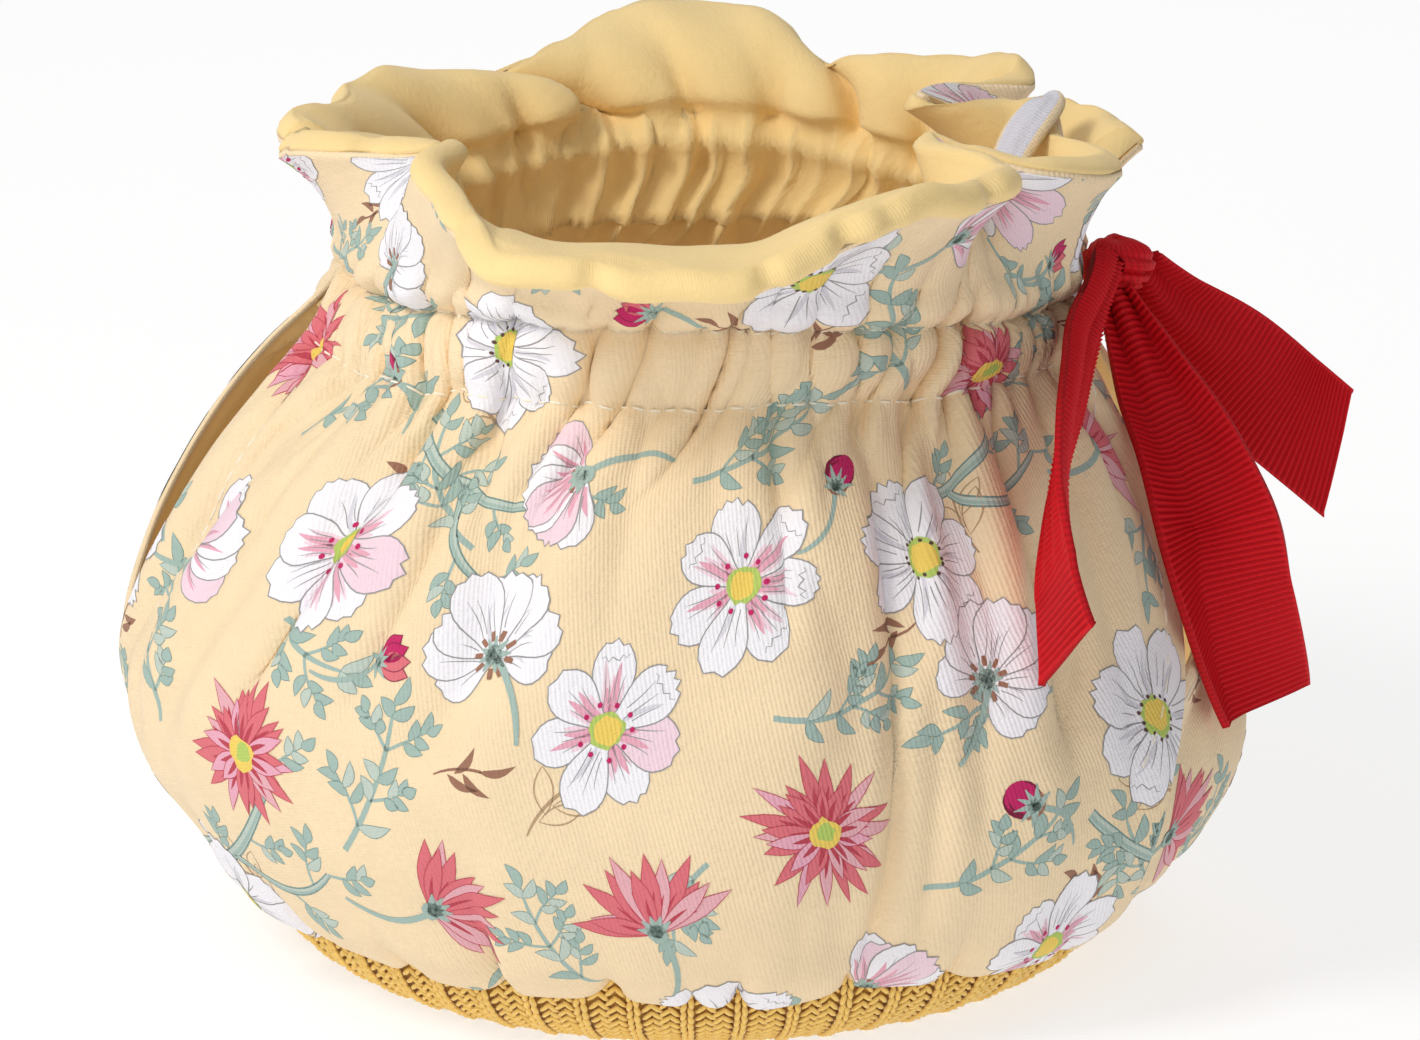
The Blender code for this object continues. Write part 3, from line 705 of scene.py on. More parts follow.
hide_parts("outer_front")
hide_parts("outer_back")


# ---------------------------------------------------------------- the printed flowers
Shape = namedtuple("Shape", "layer ink points")
LINE, FINE_LINE, HAIR_LINE = 0.24, 0.2, 0.14    # widths of the printed outlines
LAYER_FIRST = 0.02      # the first printed layer lies this far above the cloth
LAYER_STEP = 0.0045     # between one printed layer and the next
FLOWER_FLOOR = 4        # flowers are printed over the sprays
PETALS, EYE, SEPALS = 4, 24, 28     # layers that the parts of a flower start from
MARGIN = 22.0           # how far off a panel a motif's foot or middle may be and still be drawn
BEYOND = 60             # steps that the cloth's grid is carried on past its edges
CUT_NEAR = 1e-5         # points nearer than this, in steps of the grid, are taken as one


class Drawing:
    """Motifs on the flat cloth. Each motif is drawn round its own middle, then turned and placed."""

    def __init__(self, rng):
        self.rng = rng
        self.shapes = []
        self.floor = 0

    def frame(self, at, turn, size):
        self.matrix, self.middle = turning(turn) * size, np.array(at, float)

    def flatten(self, low, high):
        """Squashes the motif a little, in a direction of its own."""
        squash, way = self.rng.uniform(low, high), self.rng.uniform(0.0, 180.0)
        self.matrix = turning(way) @ np.diag([1.0, squash]) @ turning(way).T @ self.matrix

    def fill(self, layer, ink, points):
        placed = np.asarray(points, float) @ self.matrix.T + self.middle
        self.shapes.append(Shape(self.floor + layer, ink, placed))

    def outlined(self, layer, ink, points, line="grey_line", width=LINE):
        self.fill(layer, line, widened(points, width))
        self.fill(layer + 1, ink, points)

    def stroke(self, layer, ink, path, width, ends=(0.35, 0.35)):
        """A line of some width, and the share of it that is left at each end."""
        path = np.asarray(path, float)
        along = unit(np.gradient(path, axis=0))
        across = np.stack([-along[:, 1], along[:, 0]], 1)
        share = np.linspace(0.0, 1.0, len(path))
        narrowing = (1.0 - ends[0]) * (1.0 - share) ** 3 + (1.0 - ends[1]) * share**3
        side = across * (width / 2 * (1.0 - narrowing))[:, None]
        self.fill(layer, ink, np.concatenate([path + side, (path - side)[::-1]]))

    def arc(self, layer, ink, angle, start, end, bend, count, width, ends):
        """A bent stroke drawn along +Y and turned by an angle."""
        self.stroke(layer, ink, turned(bent_line(start, end, bend, count), angle), width, ends)

    def disc(self, layer, ink, radius, sides, rough, at=(0.0, 0.0), stray=0.0):
        """A round spot with an uneven edge, a little off its place if it strays."""
        reach = radius * (1.0 + rough * self.rng.uniform(-1.0, 1.0, sides))
        turn = full_turn(sides)
        spot = np.stack([reach * np.cos(turn), reach * np.sin(turn)], 1) + at
        self.fill(layer, ink, spot + self.rng.uniform(-stray, stray, 2) if stray else spot)

    def dots(self, ink, count, low, high, stray, radius, sides):
        """A ring of dots round the eye."""
        turn = full_turn(sides)
        for k in range(count):
            reach = self.rng.uniform(low, high)
            way = math.radians(360.0 / count * k + self.rng.uniform(-stray, stray))
            at = np.array((reach * math.cos(way), reach * math.sin(way)))
            self.fill(EYE + 2, ink, at + radius * np.stack([np.cos(turn), np.sin(turn)], 1))


def widened(points, width):
    """The outline moved outwards by width."""
    points = np.asarray(points, float)
    along = unit(np.roll(points, -1, 0) - np.roll(points, 1, 0))
    out = np.stack([along[:, 1], -along[:, 0]], 1)
    x, y = points[:, 0], points[:, 1]
    area = np.sum(x * np.roll(y, -1) - y * np.roll(x, -1))
    return points + out * (width if area > 0 else -width)


def turning(degrees):
    """The matrix that turns columns anticlockwise."""
    c, s = math.cos(math.radians(degrees)), math.sin(math.radians(degrees))
    return np.array([[c, -s], [s, c]])


def turned(points, degrees):
    return np.asarray(points, float) @ turning(degrees).T


def bent_line(start, end, bend, count=7):
    """A shallow arc between two points."""
    start, end = np.asarray(start, float), np.asarray(end, float)
    t = np.linspace(0.0, 1.0, count)[:, None]
    side = np.array([-(end - start)[1], (end - start)[0]])
    return start + (end - start) * t + side * bend * 4.0 * t * (1.0 - t)


def petal_outline(rng, foot, length, width, teeth, bend):
    """A petal along +Y with a toothed tip: narrow at its foot and widest near the tip."""
    t = np.linspace(0.0, 1.0, 8)
    half = width / 2 * (0.3 + 0.7 * np.sin(0.5 * math.pi * np.minimum(1.0, t / 0.78)) ** 1.4)
    half = half * (1.0 - 0.18 * smooth_step(0.8, 1.0, t))
    y = foot + (length * 0.84 - foot) * t
    middle = bend * (y / length) ** 2
    right = np.stack([middle + half, y], 1)
    left = np.stack([middle - half, y], 1)[::-1]
    count = 2 * teeth + 1
    spread = np.linspace(1.0, -1.0, count)
    crown = length * (0.86 + 0.14 * (1.0 - np.abs(spread) ** 2.2))
    notch = np.where(np.arange(count) % 2 == 1, 1.0, 0.0) * 0.075 * length
    crown = crown - (1.0 - notch / (0.075 * length)) * 0.075 * length * rng.uniform(0.5, 1.2, count)
    tip = np.stack([middle[-1] + half[-1] * spread * rng.uniform(0.92, 1.04, count), crown], 1)
    return np.concatenate([right, tip[1:-1], left])


def veins(drawing, layer, angle, foot, length, width, count):
    rng = drawing.rng
    for k in range(count):
        side = (k + 0.5) / count * 2.0 - 1.0
        start = foot + (length - foot) * rng.uniform(0.04, 0.2)
        stop = foot + (length - foot) * rng.uniform(0.42, 0.72)
        ends = (side * width * 0.2, start), (side * width * 0.36, stop)
        drawing.arc(layer, "grey_line", angle, *ends, 0.05 * side, 5, FINE_LINE, (0.8, 0.2))


def cosmos(drawing, rosy):
    """An open flower of seven or eight toothed petals round a yellow eye, white or flushed with pink."""
    rng = drawing.rng
    drawing.flatten(0.84, 0.97)
    count = 8 if rng.random() < 0.6 else 7
    for k in range(count):
        angle = 360.0 * (k + rng.uniform(-0.12, 0.12)) / count
        length, width = 14.6 * rng.uniform(0.9, 1.06), 8.6 * rng.uniform(0.86, 1.08)
        outline = petal_outline(rng, 1.6, length, width, int(rng.integers(2, 5)), rng.uniform(-1.0, 1.0))
        layer = PETALS + 6 * (2 if k == count - 1 and count % 2 else k % 2)
        flushed = rosy and rng.random() < 0.72
        ink = "pink_pale" if flushed and rng.random() < 0.3 else "white"
        drawing.outlined(layer, ink, turned(outline, angle))
        if flushed:
            for j in range(5):
                side = (j + 0.5) / 5 * 2.0 - 1.0
                tip = (side * width * 0.33, rng.uniform(0.4, 0.78) * length)
                ink = ("pink_pale", "pink")[j % 2]
                drawing.arc(
                    layer + 2 + j % 2, ink, angle, (side * 1.0, 2.6), tip, 0.04 * side, 6, 1.5, (0.9, 0.1)
                )
        else:
            tip = (width * 0.24, length * 0.7)
            drawing.arc(layer + 2, "white_shade", angle, (0.3, 3.0), tip, 0.06, 6, 1.0, (0.6, 0.1))
        veins(drawing, layer + 4, angle, 2.6, length, width, 3 if rng.random() < 0.6 else 4)
        if rng.random() < 0.3:
            wave = bent_line((-width * 0.36, length * 0.78), (width * 0.3, length * 0.84), -0.1, 9)
            wave[:, 1] += 0.4 * np.array([0, 1, -1, 1, 0, -1, 1, -1, 0])
            drawing.stroke(layer + 5, "grey_line", turned(wave, angle), LINE)
    drawing.disc(EYE, "lime", 3.1, 18, 0.12)
    drawing.disc(EYE + 1, "yellow", 2.35, 14, 0.14, stray=0.2)
    if rosy:
        drawing.dots("magenta", 9, 4.0, 5.0, 9.0, 0.48, 8)
    else:
        drawing.dots("brown_dark", 14, 2.7, 3.5, 7.0, 0.34, 6)


def spiky_petal(length, width, bend):
    """A narrow pointed petal along +Y."""
    t = np.linspace(0.0, 1.0, 8)
    half = width / 2 * (0.35 + 0.65 * np.sin(math.pi * np.minimum(1.0, t**1.2)) ** 0.8) * (1.0 - t**4)
    middle, y = bend * t * t, 1.2 + (length - 1.2) * t
    right, left = np.stack([middle + half, y], 1), np.stack([middle - half, y], 1)[::-1]
    return np.concatenate([right, left[1:]])


def aster(drawing):
    """A ragged coral flower of many narrow petals round a green and yellow eye."""
    rng = drawing.rng
    drawing.flatten(0.82, 0.95)
    for ring, (count, reach) in enumerate(((18, 13.0), (13, 9.8))):
        for k in range(count):
            angle = 360.0 * (k + 0.5 * ring + rng.uniform(-0.25, 0.25)) / count
            length, width = reach * rng.uniform(0.76, 1.1), 2.5 * rng.uniform(0.8, 1.2)
            outline = spiky_petal(length, width, rng.uniform(-1.9, 1.9))
            ink = ("coral", "coral", "coral_pale", "coral", "pink")[int(rng.integers(0, 5))]
            layer = PETALS + 3 * (3 * ring + k % 3)
            drawing.outlined(layer, ink, turned(outline, angle), "coral_deep", HAIR_LINE)
            tip = (rng.uniform(-0.3, 0.3), reach * 0.62)
            drawing.arc(layer + 2, "coral_deep", angle, (0.0, 1.6), tip, 0.03, 5, 1.0, (1.0, 0.1))
    drawing.disc(EYE, "yellow", 2.7, 14, 0.2)
    drawing.disc(EYE + 1, "lime", 1.6, 12, 0.2, (0.2, 0.1))


def back_view(drawing):
    """A white flower seen from behind: a fan of petals, a star of sepals and the top of its stem."""
    rng = drawing.rng
    for rank, angle in ((0, -104), (0, 100), (1, -72), (1, 70), (2, -40), (2, 42), (3, -12), (4, 15)):
        length = 15.5 * rng.uniform(0.92, 1.05) * (1.0 - 0.0028 * abs(angle))
        outline = petal_outline(rng, 1.0, length, 9.6, 3, rng.uniform(-1.2, 1.2))
        layer = PETALS + 4 * rank
        drawing.outlined(layer, "white", turned(outline, angle))
        tip = (1.6, length * 0.6)
        drawing.arc(layer + 2, "white_shade", angle, (0.0, 2.0), tip, 0.08, 6, 0.9, (0.9, 0.1))
        veins(drawing, layer + 3, angle, 2.0, length, 9.0, 4)
    for k in range(9):
        angle = 40.0 * k + rng.uniform(-6.0, 6.0)
        stamen, sepal = ((0.0, 2.3), (0.0, 3.2), (0.0, 4.1)), ((0.0, 0.0), (0.0, 1.6), (0.0, 3.2))
        drawing.stroke(EYE + 1, "brown", turned(stamen, angle), 1.0, (0.8, 0.8))
        drawing.stroke(EYE + 2, "teal", turned(sepal, angle + 20.0), 1.2, (1.0, 0.2))
    drawing.disc(EYE + 2, "teal", 1.7, 12, 0.1)
    drawing.stroke(EYE + 2, "teal", bent_line((0.0, 0.0), (2.0, -15.0), 0.12, 12), 1.2, (1.0, 0.6))


def cup(drawing, coral=False):
    """A half-open flower from the side, on a small calyx and a bent stem."""
    rng = drawing.rng
    drawing.stroke(2, "teal", bent_line((0.0, 0.5), (-5.0, -17.0), 0.14, 14), 1.2, (1.0, 0.6))
    if coral:
        for k, angle in enumerate((-74, 70, -56, 54, -42, 38, -28, 24, -15, 11, -2, 62, -64)):
            reach = 14.5 * rng.uniform(0.75, 1.05)
            outline = spiky_petal(reach, 3.1, rng.uniform(-1.5, 1.5))
            ink = "coral" if k % 3 else "coral_pale"
            layer = PETALS + 3 * (k // 2)
            drawing.outlined(layer, ink, turned(outline, angle), "coral_deep", HAIR_LINE)
            tip = (0.2, reach * 0.55)
            drawing.arc(layer + 2, "coral_deep", angle, (0.0, 1.8), tip, 0.03, 5, 0.7, (1.0, 0.1))
    else:
        for k, (rank, angle) in enumerate(((0, -66), (0, 62), (1, -42), (1, 40), (2, -20), (3, 18), (4, 0))):
            length = 14.5 * rng.uniform(0.86, 1.04)
            outline = petal_outline(rng, 1.2, length, 8.2, 3, rng.uniform(-1.4, 1.4))
            layer = PETALS + 4 * rank
            drawing.outlined(layer, "pink_pale" if k % 3 == 0 else "white", turned(outline, angle))
            for side in (-1.0, 0.0, 1.0):
                foot, tip = (side * 0.8, 2.0), (side * 2.6, length * rng.uniform(0.5, 0.75))
                drawing.arc(layer + 2, "pink", angle, foot, tip, 0.05 * side, 6, 1.2, (0.9, 0.1))
            veins(drawing, layer + 3, angle, 3.0, length, 8.0, 3)
        drawing.stroke(EYE + 2, "brown", [(-2.4, 2.4), (-0.8, 1.7), (0.8, 1.7), (2.4, 2.4)], 1.3, (0.5, 0.5))
    for angle in (-62, -30, 0, 30, 62):
        sepal = turned([(0.0, -0.8), (0.0, 1.2), (0.0, 3.4)], angle)
        drawing.stroke(SEPALS, "teal", sepal, 1.8, (1.0, 0.1))
    drawing.disc(SEPALS, "teal", 1.7, 12, 0.1, (0.0, -0.3))


def bud(drawing, ripe=True):
    """A round magenta bud in its sepals, or a small half-open red one."""
    rng = drawing.rng
    drawing.stroke(2, "teal", bent_line((0.0, 0.0), (-3.0, -11.0), 0.16, 10), 1.0, (1.0, 0.5))
    if ripe:
        drawing.disc(6, "wine", 3.1, 18, 0.03, (0.0, 2.4))
        drawing.disc(7, "magenta", 2.6, 16, 0.05, (0.25, 2.9))
        drawing.stroke(8, "wine", bent_line((-1.6, 0.6), (-1.3, 4.2), 0.2, 6), 0.5)
        drawing.stroke(8, "brown", bent_line((-2.4, 0.4), (2.2, 0.4), -0.25, 8), 1.3, (0.3, 0.3))
    else:
        for k, angle in enumerate((-34, 30, -12, 10)):
            petal = turned(spiky_petal(6.6, 3.4, 0.6), angle)
            drawing.outlined(6 + 2 * (k // 2), ("coral", "magenta")[k % 2], petal, "wine", 0.16)
    for angle in (-105, -66, -30, 4, 38, 72, 108):
        sepal = turned([(0.0, -0.6), (0.1, 0.9), (0.0, 3.1 + rng.uniform(-0.5, 0.7))], angle)
        drawing.stroke(10, "teal", sepal, 1.3, (1.0, 0.1))


def leaflet(drawing, layer, ink, foot, angle, length, width, line=None):
    t = np.linspace(0.0, 1.0, 7)
    half = width / 2 * np.sin(math.pi * t**0.8) ** 0.9
    bend = 0.12 * length * np.sin(math.pi * t)
    right, left = np.stack([bend + half, t * length], 1), np.stack([bend - half, t * length], 1)[::-1]
    outline = turned(np.concatenate([right, left[1:-1]]), angle) + np.asarray(foot)
    if line is None:
        drawing.fill(layer, ink, outline)
    else:
        drawing.outlined(layer, ink, outline, line, 0.13)


def stem_way(stem, row):
    """The direction of a stem at one of its points, in degrees from +Y."""
    along = stem[row + 1] - stem[row]
    return math.degrees(math.atan2(-along[0], along[1]))


def leaf_tuft(drawing, foot, way, reach):
    """A side twig with narrow leaves, paired and with one at its tip."""
    rng = drawing.rng
    twig = bent_line(foot, foot + turned([(0.0, reach)], way)[0], rng.uniform(-0.12, 0.12), 8)
    drawing.stroke(0, "teal", twig, 0.55, (1.0, 0.5))
    leaflet(drawing, 2, "teal", twig[-1], way, reach * 0.42, 1.7, "teal_deep")
    for row, side in ((3, -1.0), (4, 1.0), (5, -1.0), (6, 1.0)):
        ink = "teal" if rng.random() < 0.65 else "teal_pale"
        length, angle = reach * rng.uniform(0.4, 0.56), way + side * rng.uniform(36.0, 54.0)
        leaflet(drawing, 1 if side > 0.0 else 2, ink, twig[row], angle, length, 1.6, "teal_deep")


def spray(drawing, length=26.0, pairs=5):
    """A curved stem with small leaves in pairs, some of them on side twigs."""
    rng = drawing.rng
    stem = bent_line((0.0, 0.0), (0.0, length), rng.uniform(0.08, 0.17) * rng.choice([-1.0, 1.0]), 16)
    drawing.stroke(0, "teal", stem, 1.0, (1.0, 0.4))
    for k in range(pairs):
        share = 0.2 + 0.72 * k / (pairs - 1)
        row = min(14, round(share * 15))
        for side in (-1.0, 1.0):
            angle = stem_way(stem, row) + side * rng.uniform(36.0, 56.0)
            reach = rng.uniform(5.4, 8.4) * (1.0 - 0.25 * share)
            if rng.random() < 0.45 and k < pairs - 1:
                leaf_tuft(drawing, stem[row], angle, reach * 1.15)
            else:
                ink = "teal" if rng.random() < 0.7 else "teal_pale"
                layer = 1 if side > 0.0 else 2
                leaflet(drawing, layer, ink, stem[row], angle, reach * 0.8, 1.9, "teal_deep")
    leaflet(drawing, 3, "teal", stem[-1], 0.0, 5.0, 1.8, "teal_deep")


def branch(drawing):
    """A long bowed stem, drawn as a pale band between two lines, that forks and carries leaf tufts."""
    rng = drawing.rng
    main = bent_line((0.0, 0.0), (4.0, 42.0), -0.16, 26)
    fork = bent_line(main[11], main[11] + (13.0, 20.0), -0.2, 16)
    for path, width in ((fork, 1.7), (main, 2.2)):
        drawing.stroke(0, "teal_deep", path, width, (1.0, 0.6))
        drawing.stroke(1, "teal_pale", path, width - 0.6, (1.0, 0.5))
        drawing.stroke(2, "teal", path + (0.25, 0.0), width * 0.3, (1.0, 0.5))
    for path, rows in ((main, (5, 9, 16, 21)), (fork, (7, 12))):
        for k, row in enumerate(rows):
            way = stem_way(path, row) + (46.0 if k % 2 else -46.0)
            leaf_tuft(drawing, path[row], way, rng.uniform(7.0, 9.5))
    leaf_tuft(drawing, main[-1], 0.0, 7.5)
    leaf_tuft(drawing, fork[-1], -30.0, 7.0)


def sprig(drawing, ink="brown", line_only=False):
    """A small sprig of four narrow leaves, filled or only outlined."""
    rng = drawing.rng
    drawing.stroke(0, ink, bent_line((0.0, -5.0), (0.0, 3.0), 0.08, 7), 0.45, (0.5, 1.0))
    for angle, foot in ((-48, 0.0), (44, -1.4), (4, 2.6), (-30, -2.6)):
        reach = rng.uniform(4.2, 6.0)
        if line_only:
            edge = bent_line((0.0, foot), turned([(0.0, reach)], angle)[0] + (0.0, foot), 0.2, 8)
            drawing.stroke(0, ink, edge, 0.26)
            drawing.stroke(0, ink, bent_line((0.0, foot), edge[-1], -0.2, 8), 0.26)
        else:
            leaflet(drawing, 0, ink, (0.0, foot), angle, reach, 1.3)


MOTIFS = {
    "white": lambda drawing: cosmos(drawing, False),
    "rosy": lambda drawing: cosmos(drawing, True),
    "aster": aster,
    "behind": back_view,
    "cup": cup,
    "coral_cup": lambda drawing: cup(drawing, True),
    "bud": bud,
    "red_bud": lambda drawing: bud(drawing, False),
    "spray": spray,
    "branch": branch,
    "twig": lambda drawing: spray(drawing, 17.0, 3),
    "sprig": sprig,
    "outline": lambda drawing: sprig(drawing, "tan_line", True),
}

# One repeat of the print, laid out for this part: each kind's places, with its turn and size. The
# repeat is REPEAT_WIDE by REPEAT_TALL, and its second column is set half a repeat higher. Sprays and
# stems come first, so that flowers cover them.
REPEAT_WIDE, REPEAT_TALL = 134.0, 132.0
GREENERY = {
    "branch": [(56, 14, -52, 1.0), (96, 96, -100, 0.95)],
    "spray": [
        (22, 22, -58, 1.0), (62, 36, 24, 1.0), (104, 26, -20, 1.0), (12, 70, 30, 0.9),
        (66, 88, -62, 1.0), (118, 76, 38, 0.95), (40, 118, -75, 0.9), (92, 116, 100, 0.95),
    ],
    "twig": [(48, 62, 70, 1.0), (88, 60, -110, 1.0), (128, 6, 150, 0.9), (30, 96, 160, 0.9)],
    "outline": [(78, 14, 20, 1.3), (6, 104, -40, 1.3), (110, 98, 70, 1.3)],
    "sprig": [
        (40, 46, -30, 1.0), (98, 82, 50, 1.1), (62, 128, 120, 1.0), (126, 42, -80, 1.0),
        (20, 48, 60, 0.9),
    ],
}
FLOWERS = {
    "bud": [(50, 20, -20, 1.0), (84, 100, 60, 1.0)],
    "red_bud": [(6, 52, 80, 1.0), (108, 56, -60, 0.95)],
    "cup": [(60, 66, -50, 0.92), (2, 22, 120, 0.9)],
    "coral_cup": [(118, 18, -70, 0.95), (22, 84, 20, 0.95)],
    "aster": [(86, 38, 10, 0.95), (48, 100, 70, 1.0)],
    "behind": [(128, 60, 18, 0.95), (78, 120, -35, 0.92)],
    "rosy": [(34, 6, 12, 1.0), (94, 72, 40, 1.02), (14, 116, 0, 0.95)],
    "white": [(68, 8, 25, 1.0), (34, 60, 50, 1.05), (112, 108, 5, 1.0)],
}
REPEAT = [
    (floor, kind, *place_in_repeat)
    for floor, kinds in ((0, GREENERY), (FLOWER_FLOOR, FLOWERS))
    for kind, places in kinds.items()
    for place_in_repeat in places
]


def draw_print(width, start, seed):
    """Every motif of the repeat that falls on a panel, as flat shapes. The panel's first edge is at start."""
    drawing = Drawing(np.random.default_rng(seed))
    for column in range(-1, int(width / REPEAT_WIDE) + 3):
        for row in range(-2, 3):
            left = column * REPEAT_WIDE - start
            low = row * REPEAT_TALL + (REPEAT_TALL / 2 if column % 2 else 0.0)
            for floor, kind, x, y, turn, size in REPEAT:
                at = (left + x, low + y)
                if -MARGIN < at[0] < width + MARGIN and -MARGIN < at[1] < ROW_HEIGHTS[-1] + MARGIN:
                    drawing.floor = floor
                    drawing.frame(at, turn, size)
                    MOTIFS[kind](drawing)
    return drawing.shapes


def cut_to_grid(outline):
    """Triangles of an outline, cut along the cloth's grid and its diagonals, in grid places."""
    x, y = outline[:, 0], outline[:, 1]
    if np.sum(x * np.roll(y, -1) - y * np.roll(x, -1)) < 0.0:
        outline = outline[::-1]
    low = np.floor(outline.min(0)).astype(int)
    high = np.floor(outline.max(0)).astype(int) + 1
    wide, tall = high - low + 1
    index = np.arange(wide * tall).reshape(wide, tall)
    i, j = np.meshgrid(np.arange(wide), np.arange(tall), indexing="ij")
    grid = np.stack([i.ravel() + low[0], j.ravel() + low[1]], 1).astype(float)
    edges = np.concatenate([
        np.stack([index[:-1].ravel(), index[1:].ravel()], 1),
        np.stack([index[:, :-1].ravel(), index[:, 1:].ravel()], 1),
        np.stack([index[:-1, :-1].ravel(), index[1:, 1:].ravel()], 1),
    ])
    points = [Vector(p) for p in np.concatenate([grid, outline]).tolist()]
    face = list(range(len(grid), len(points)))
    every_face, with_sources = 0, True
    found = delaunay_2d_cdt(points, edges.tolist(), [face], every_face, CUT_NEAR, with_sources)
    places, faces, sources = found[0], found[2], found[5]
    kept = [f for f, source in zip(faces, sources) if source]
    return np.array([tuple(p) for p in places]).reshape(-1, 2), kept


def on_cloth(places, values):
    """Reads a grid of values, flat within each of its triangles, at places counted in columns and rows."""
    wide, tall = values.shape[:2]
    i = np.clip(np.floor(places[:, 0] + 1e-6).astype(int), 0, wide - 2)
    j = np.clip(np.floor(places[:, 1] + 1e-6).astype(int), 0, tall - 2)
    x, y = (places[:, 0] - i)[:, None], (places[:, 1] - j)[:, None]
    a, b, c, d = values[i, j], values[i + 1, j], values[i + 1, j + 1], values[i, j + 1]
    return np.where(x >= y, a + x * (b - a) + y * (c - b), a + y * (d - a) + x * (c - d))


def stretched(values):
    """A rising list, carried on evenly at both ends, and the places of its values counted in steps."""
    first, last = values[1] - values[0], values[-1] - values[-2]
    longer = np.concatenate([[values[0] - BEYOND * first], values, [values[-1] + BEYOND * last]])
    return longer, np.concatenate([[-BEYOND], np.arange(len(values)), [len(values) - 1 + BEYOND]])


def print_piece(name, cloth, shapes):
    """The ink on a panel: every shape, cut to the cloth's triangles and laid just above them."""
    wide, tall = cloth.outer.shape[:2]
    column_scales = [stretched(cloth.flat_x[:, j]) for j in range(tall)]
    all_places, all_layers, all_faces, all_tones = [], [], [], []
    count = 0
    for shape in shapes:
        rows = np.interp(shape.points[:, 1], *stretched(cloth.up))
        below = np.clip(np.floor(rows).astype(int), 0, tall - 2)
        share = np.clip(rows - below, 0.0, 1.0)
        columns = np.array([
            np.interp(x, *column_scales[j]) * (1.0 - t) + np.interp(x, *column_scales[j + 1]) * t
            for x, j, t in zip(shape.points[:, 0], below, share)
        ])
        if columns.max() < 0 or rows.max() < 0 or columns.min() > wide - 1 or rows.min() > tall - 1:
            continue
        places, faces = cut_to_grid(np.stack([columns, rows], 1))
        middles = np.array([places[f].mean(0) for f in faces]).reshape(-1, 2)
        inside = (middles > 0).all(1) & (middles[:, 0] < wide - 1) & (middles[:, 1] < tall - 1)
        used = [f for f, keep in zip(faces, inside) if keep]
        if not used:
            continue
        all_places.append(places)
        all_layers.append(np.full(len(places), shape.layer))
        all_faces += [[v + count for v in f] for f in used]
        all_tones += [INK_INDEX[shape.ink]] * len(used)
        count += len(places)
    places, layers = np.concatenate(all_places), np.concatenate(all_layers)
    used = np.unique(np.concatenate([np.array(f) for f in all_faces]))
    renumber = np.zeros(len(places), int)
    renumber[used] = np.arange(len(used))
    places, layers = places[used], layers[used]
    faces = [renumber[f].tolist() for f in all_faces]
    normals = unit(on_cloth(places, cloth_normals(cloth)))
    points = on_cloth(places, cloth.outer)
    points = points + normals * (LAYER_FIRST + LAYER_STEP * layers)[:, None]
    flat = on_cloth(places, flat_places(cloth)) / MAP_SPAN
    return new_piece(name, points, faces, ink_materials, all_tones, flat, normals)


def cloth_normals(cloth):
    """The directions that the panel's own mesh is shaded with."""
    a, b, c, d = cloth.outer[:-1, :-1], cloth.outer[1:, :-1], cloth.outer[1:, 1:], cloth.outer[:-1, 1:]
    total = np.zeros_like(cloth.outer)
    low, high = np.cross(b - a, c - a), np.cross(c - a, d - a)
    total[:-1, :-1] += low + high
    total[1:, 1:] += low + high
    total[1:, :-1] += low
    total[:-1, 1:] += high
    return unit(total)


front_shapes = draw_print(front.flat_x.max(), start=30.0, seed=5)
back_shapes = draw_print(back.flat_x.max(), start=96.0, seed=9)
print_front = print_piece("print_front", front, front_shapes)
print_back = print_piece("print_back", back, back_shapes)


# ---------------------------------------------------------------- the collar's lining
LINING, LINING_RIM = 1.2, 2.2           # thickness inside the channel, and at the rim
LINING_LEAST, LINING_SPACE = 0.5, 0.8   # the least thickness, and what a fold leaves of the padding
LINING_PADDING = 6.0
ROLL_STEP, ROLL_TURN = 1.3, 4.0         # steps of the flat map round the roll, and behind it
# The roll's section: how far up past the printed edge, and how far out of the cosy.
ROLL_SECTION = np.array([
    (0.9, -3.5), (2.0, -3.4), (2.9, -2.9), (3.45, -2.1), (3.7, -1.1), (3.6, -0.1), (3.2, 0.8),
    (2.6, 1.4), (1.8, 1.75), (1.0, 1.8), (0.3, 1.5), (0.1, 0.8), (0.1, -0.16),
])
# How full the roll is along the rim: the place in rows of the rim's table, and the size.
FRONT_ROLL = [(0, 0.35), (3, 0.45), (4, 0.85), (5, 1.0), (13, 1.0), (15, 0.8), (17, 0.4), (21, 0.35)]
BACK_ROLL = [(0, 0.35), (21, 0.35)]


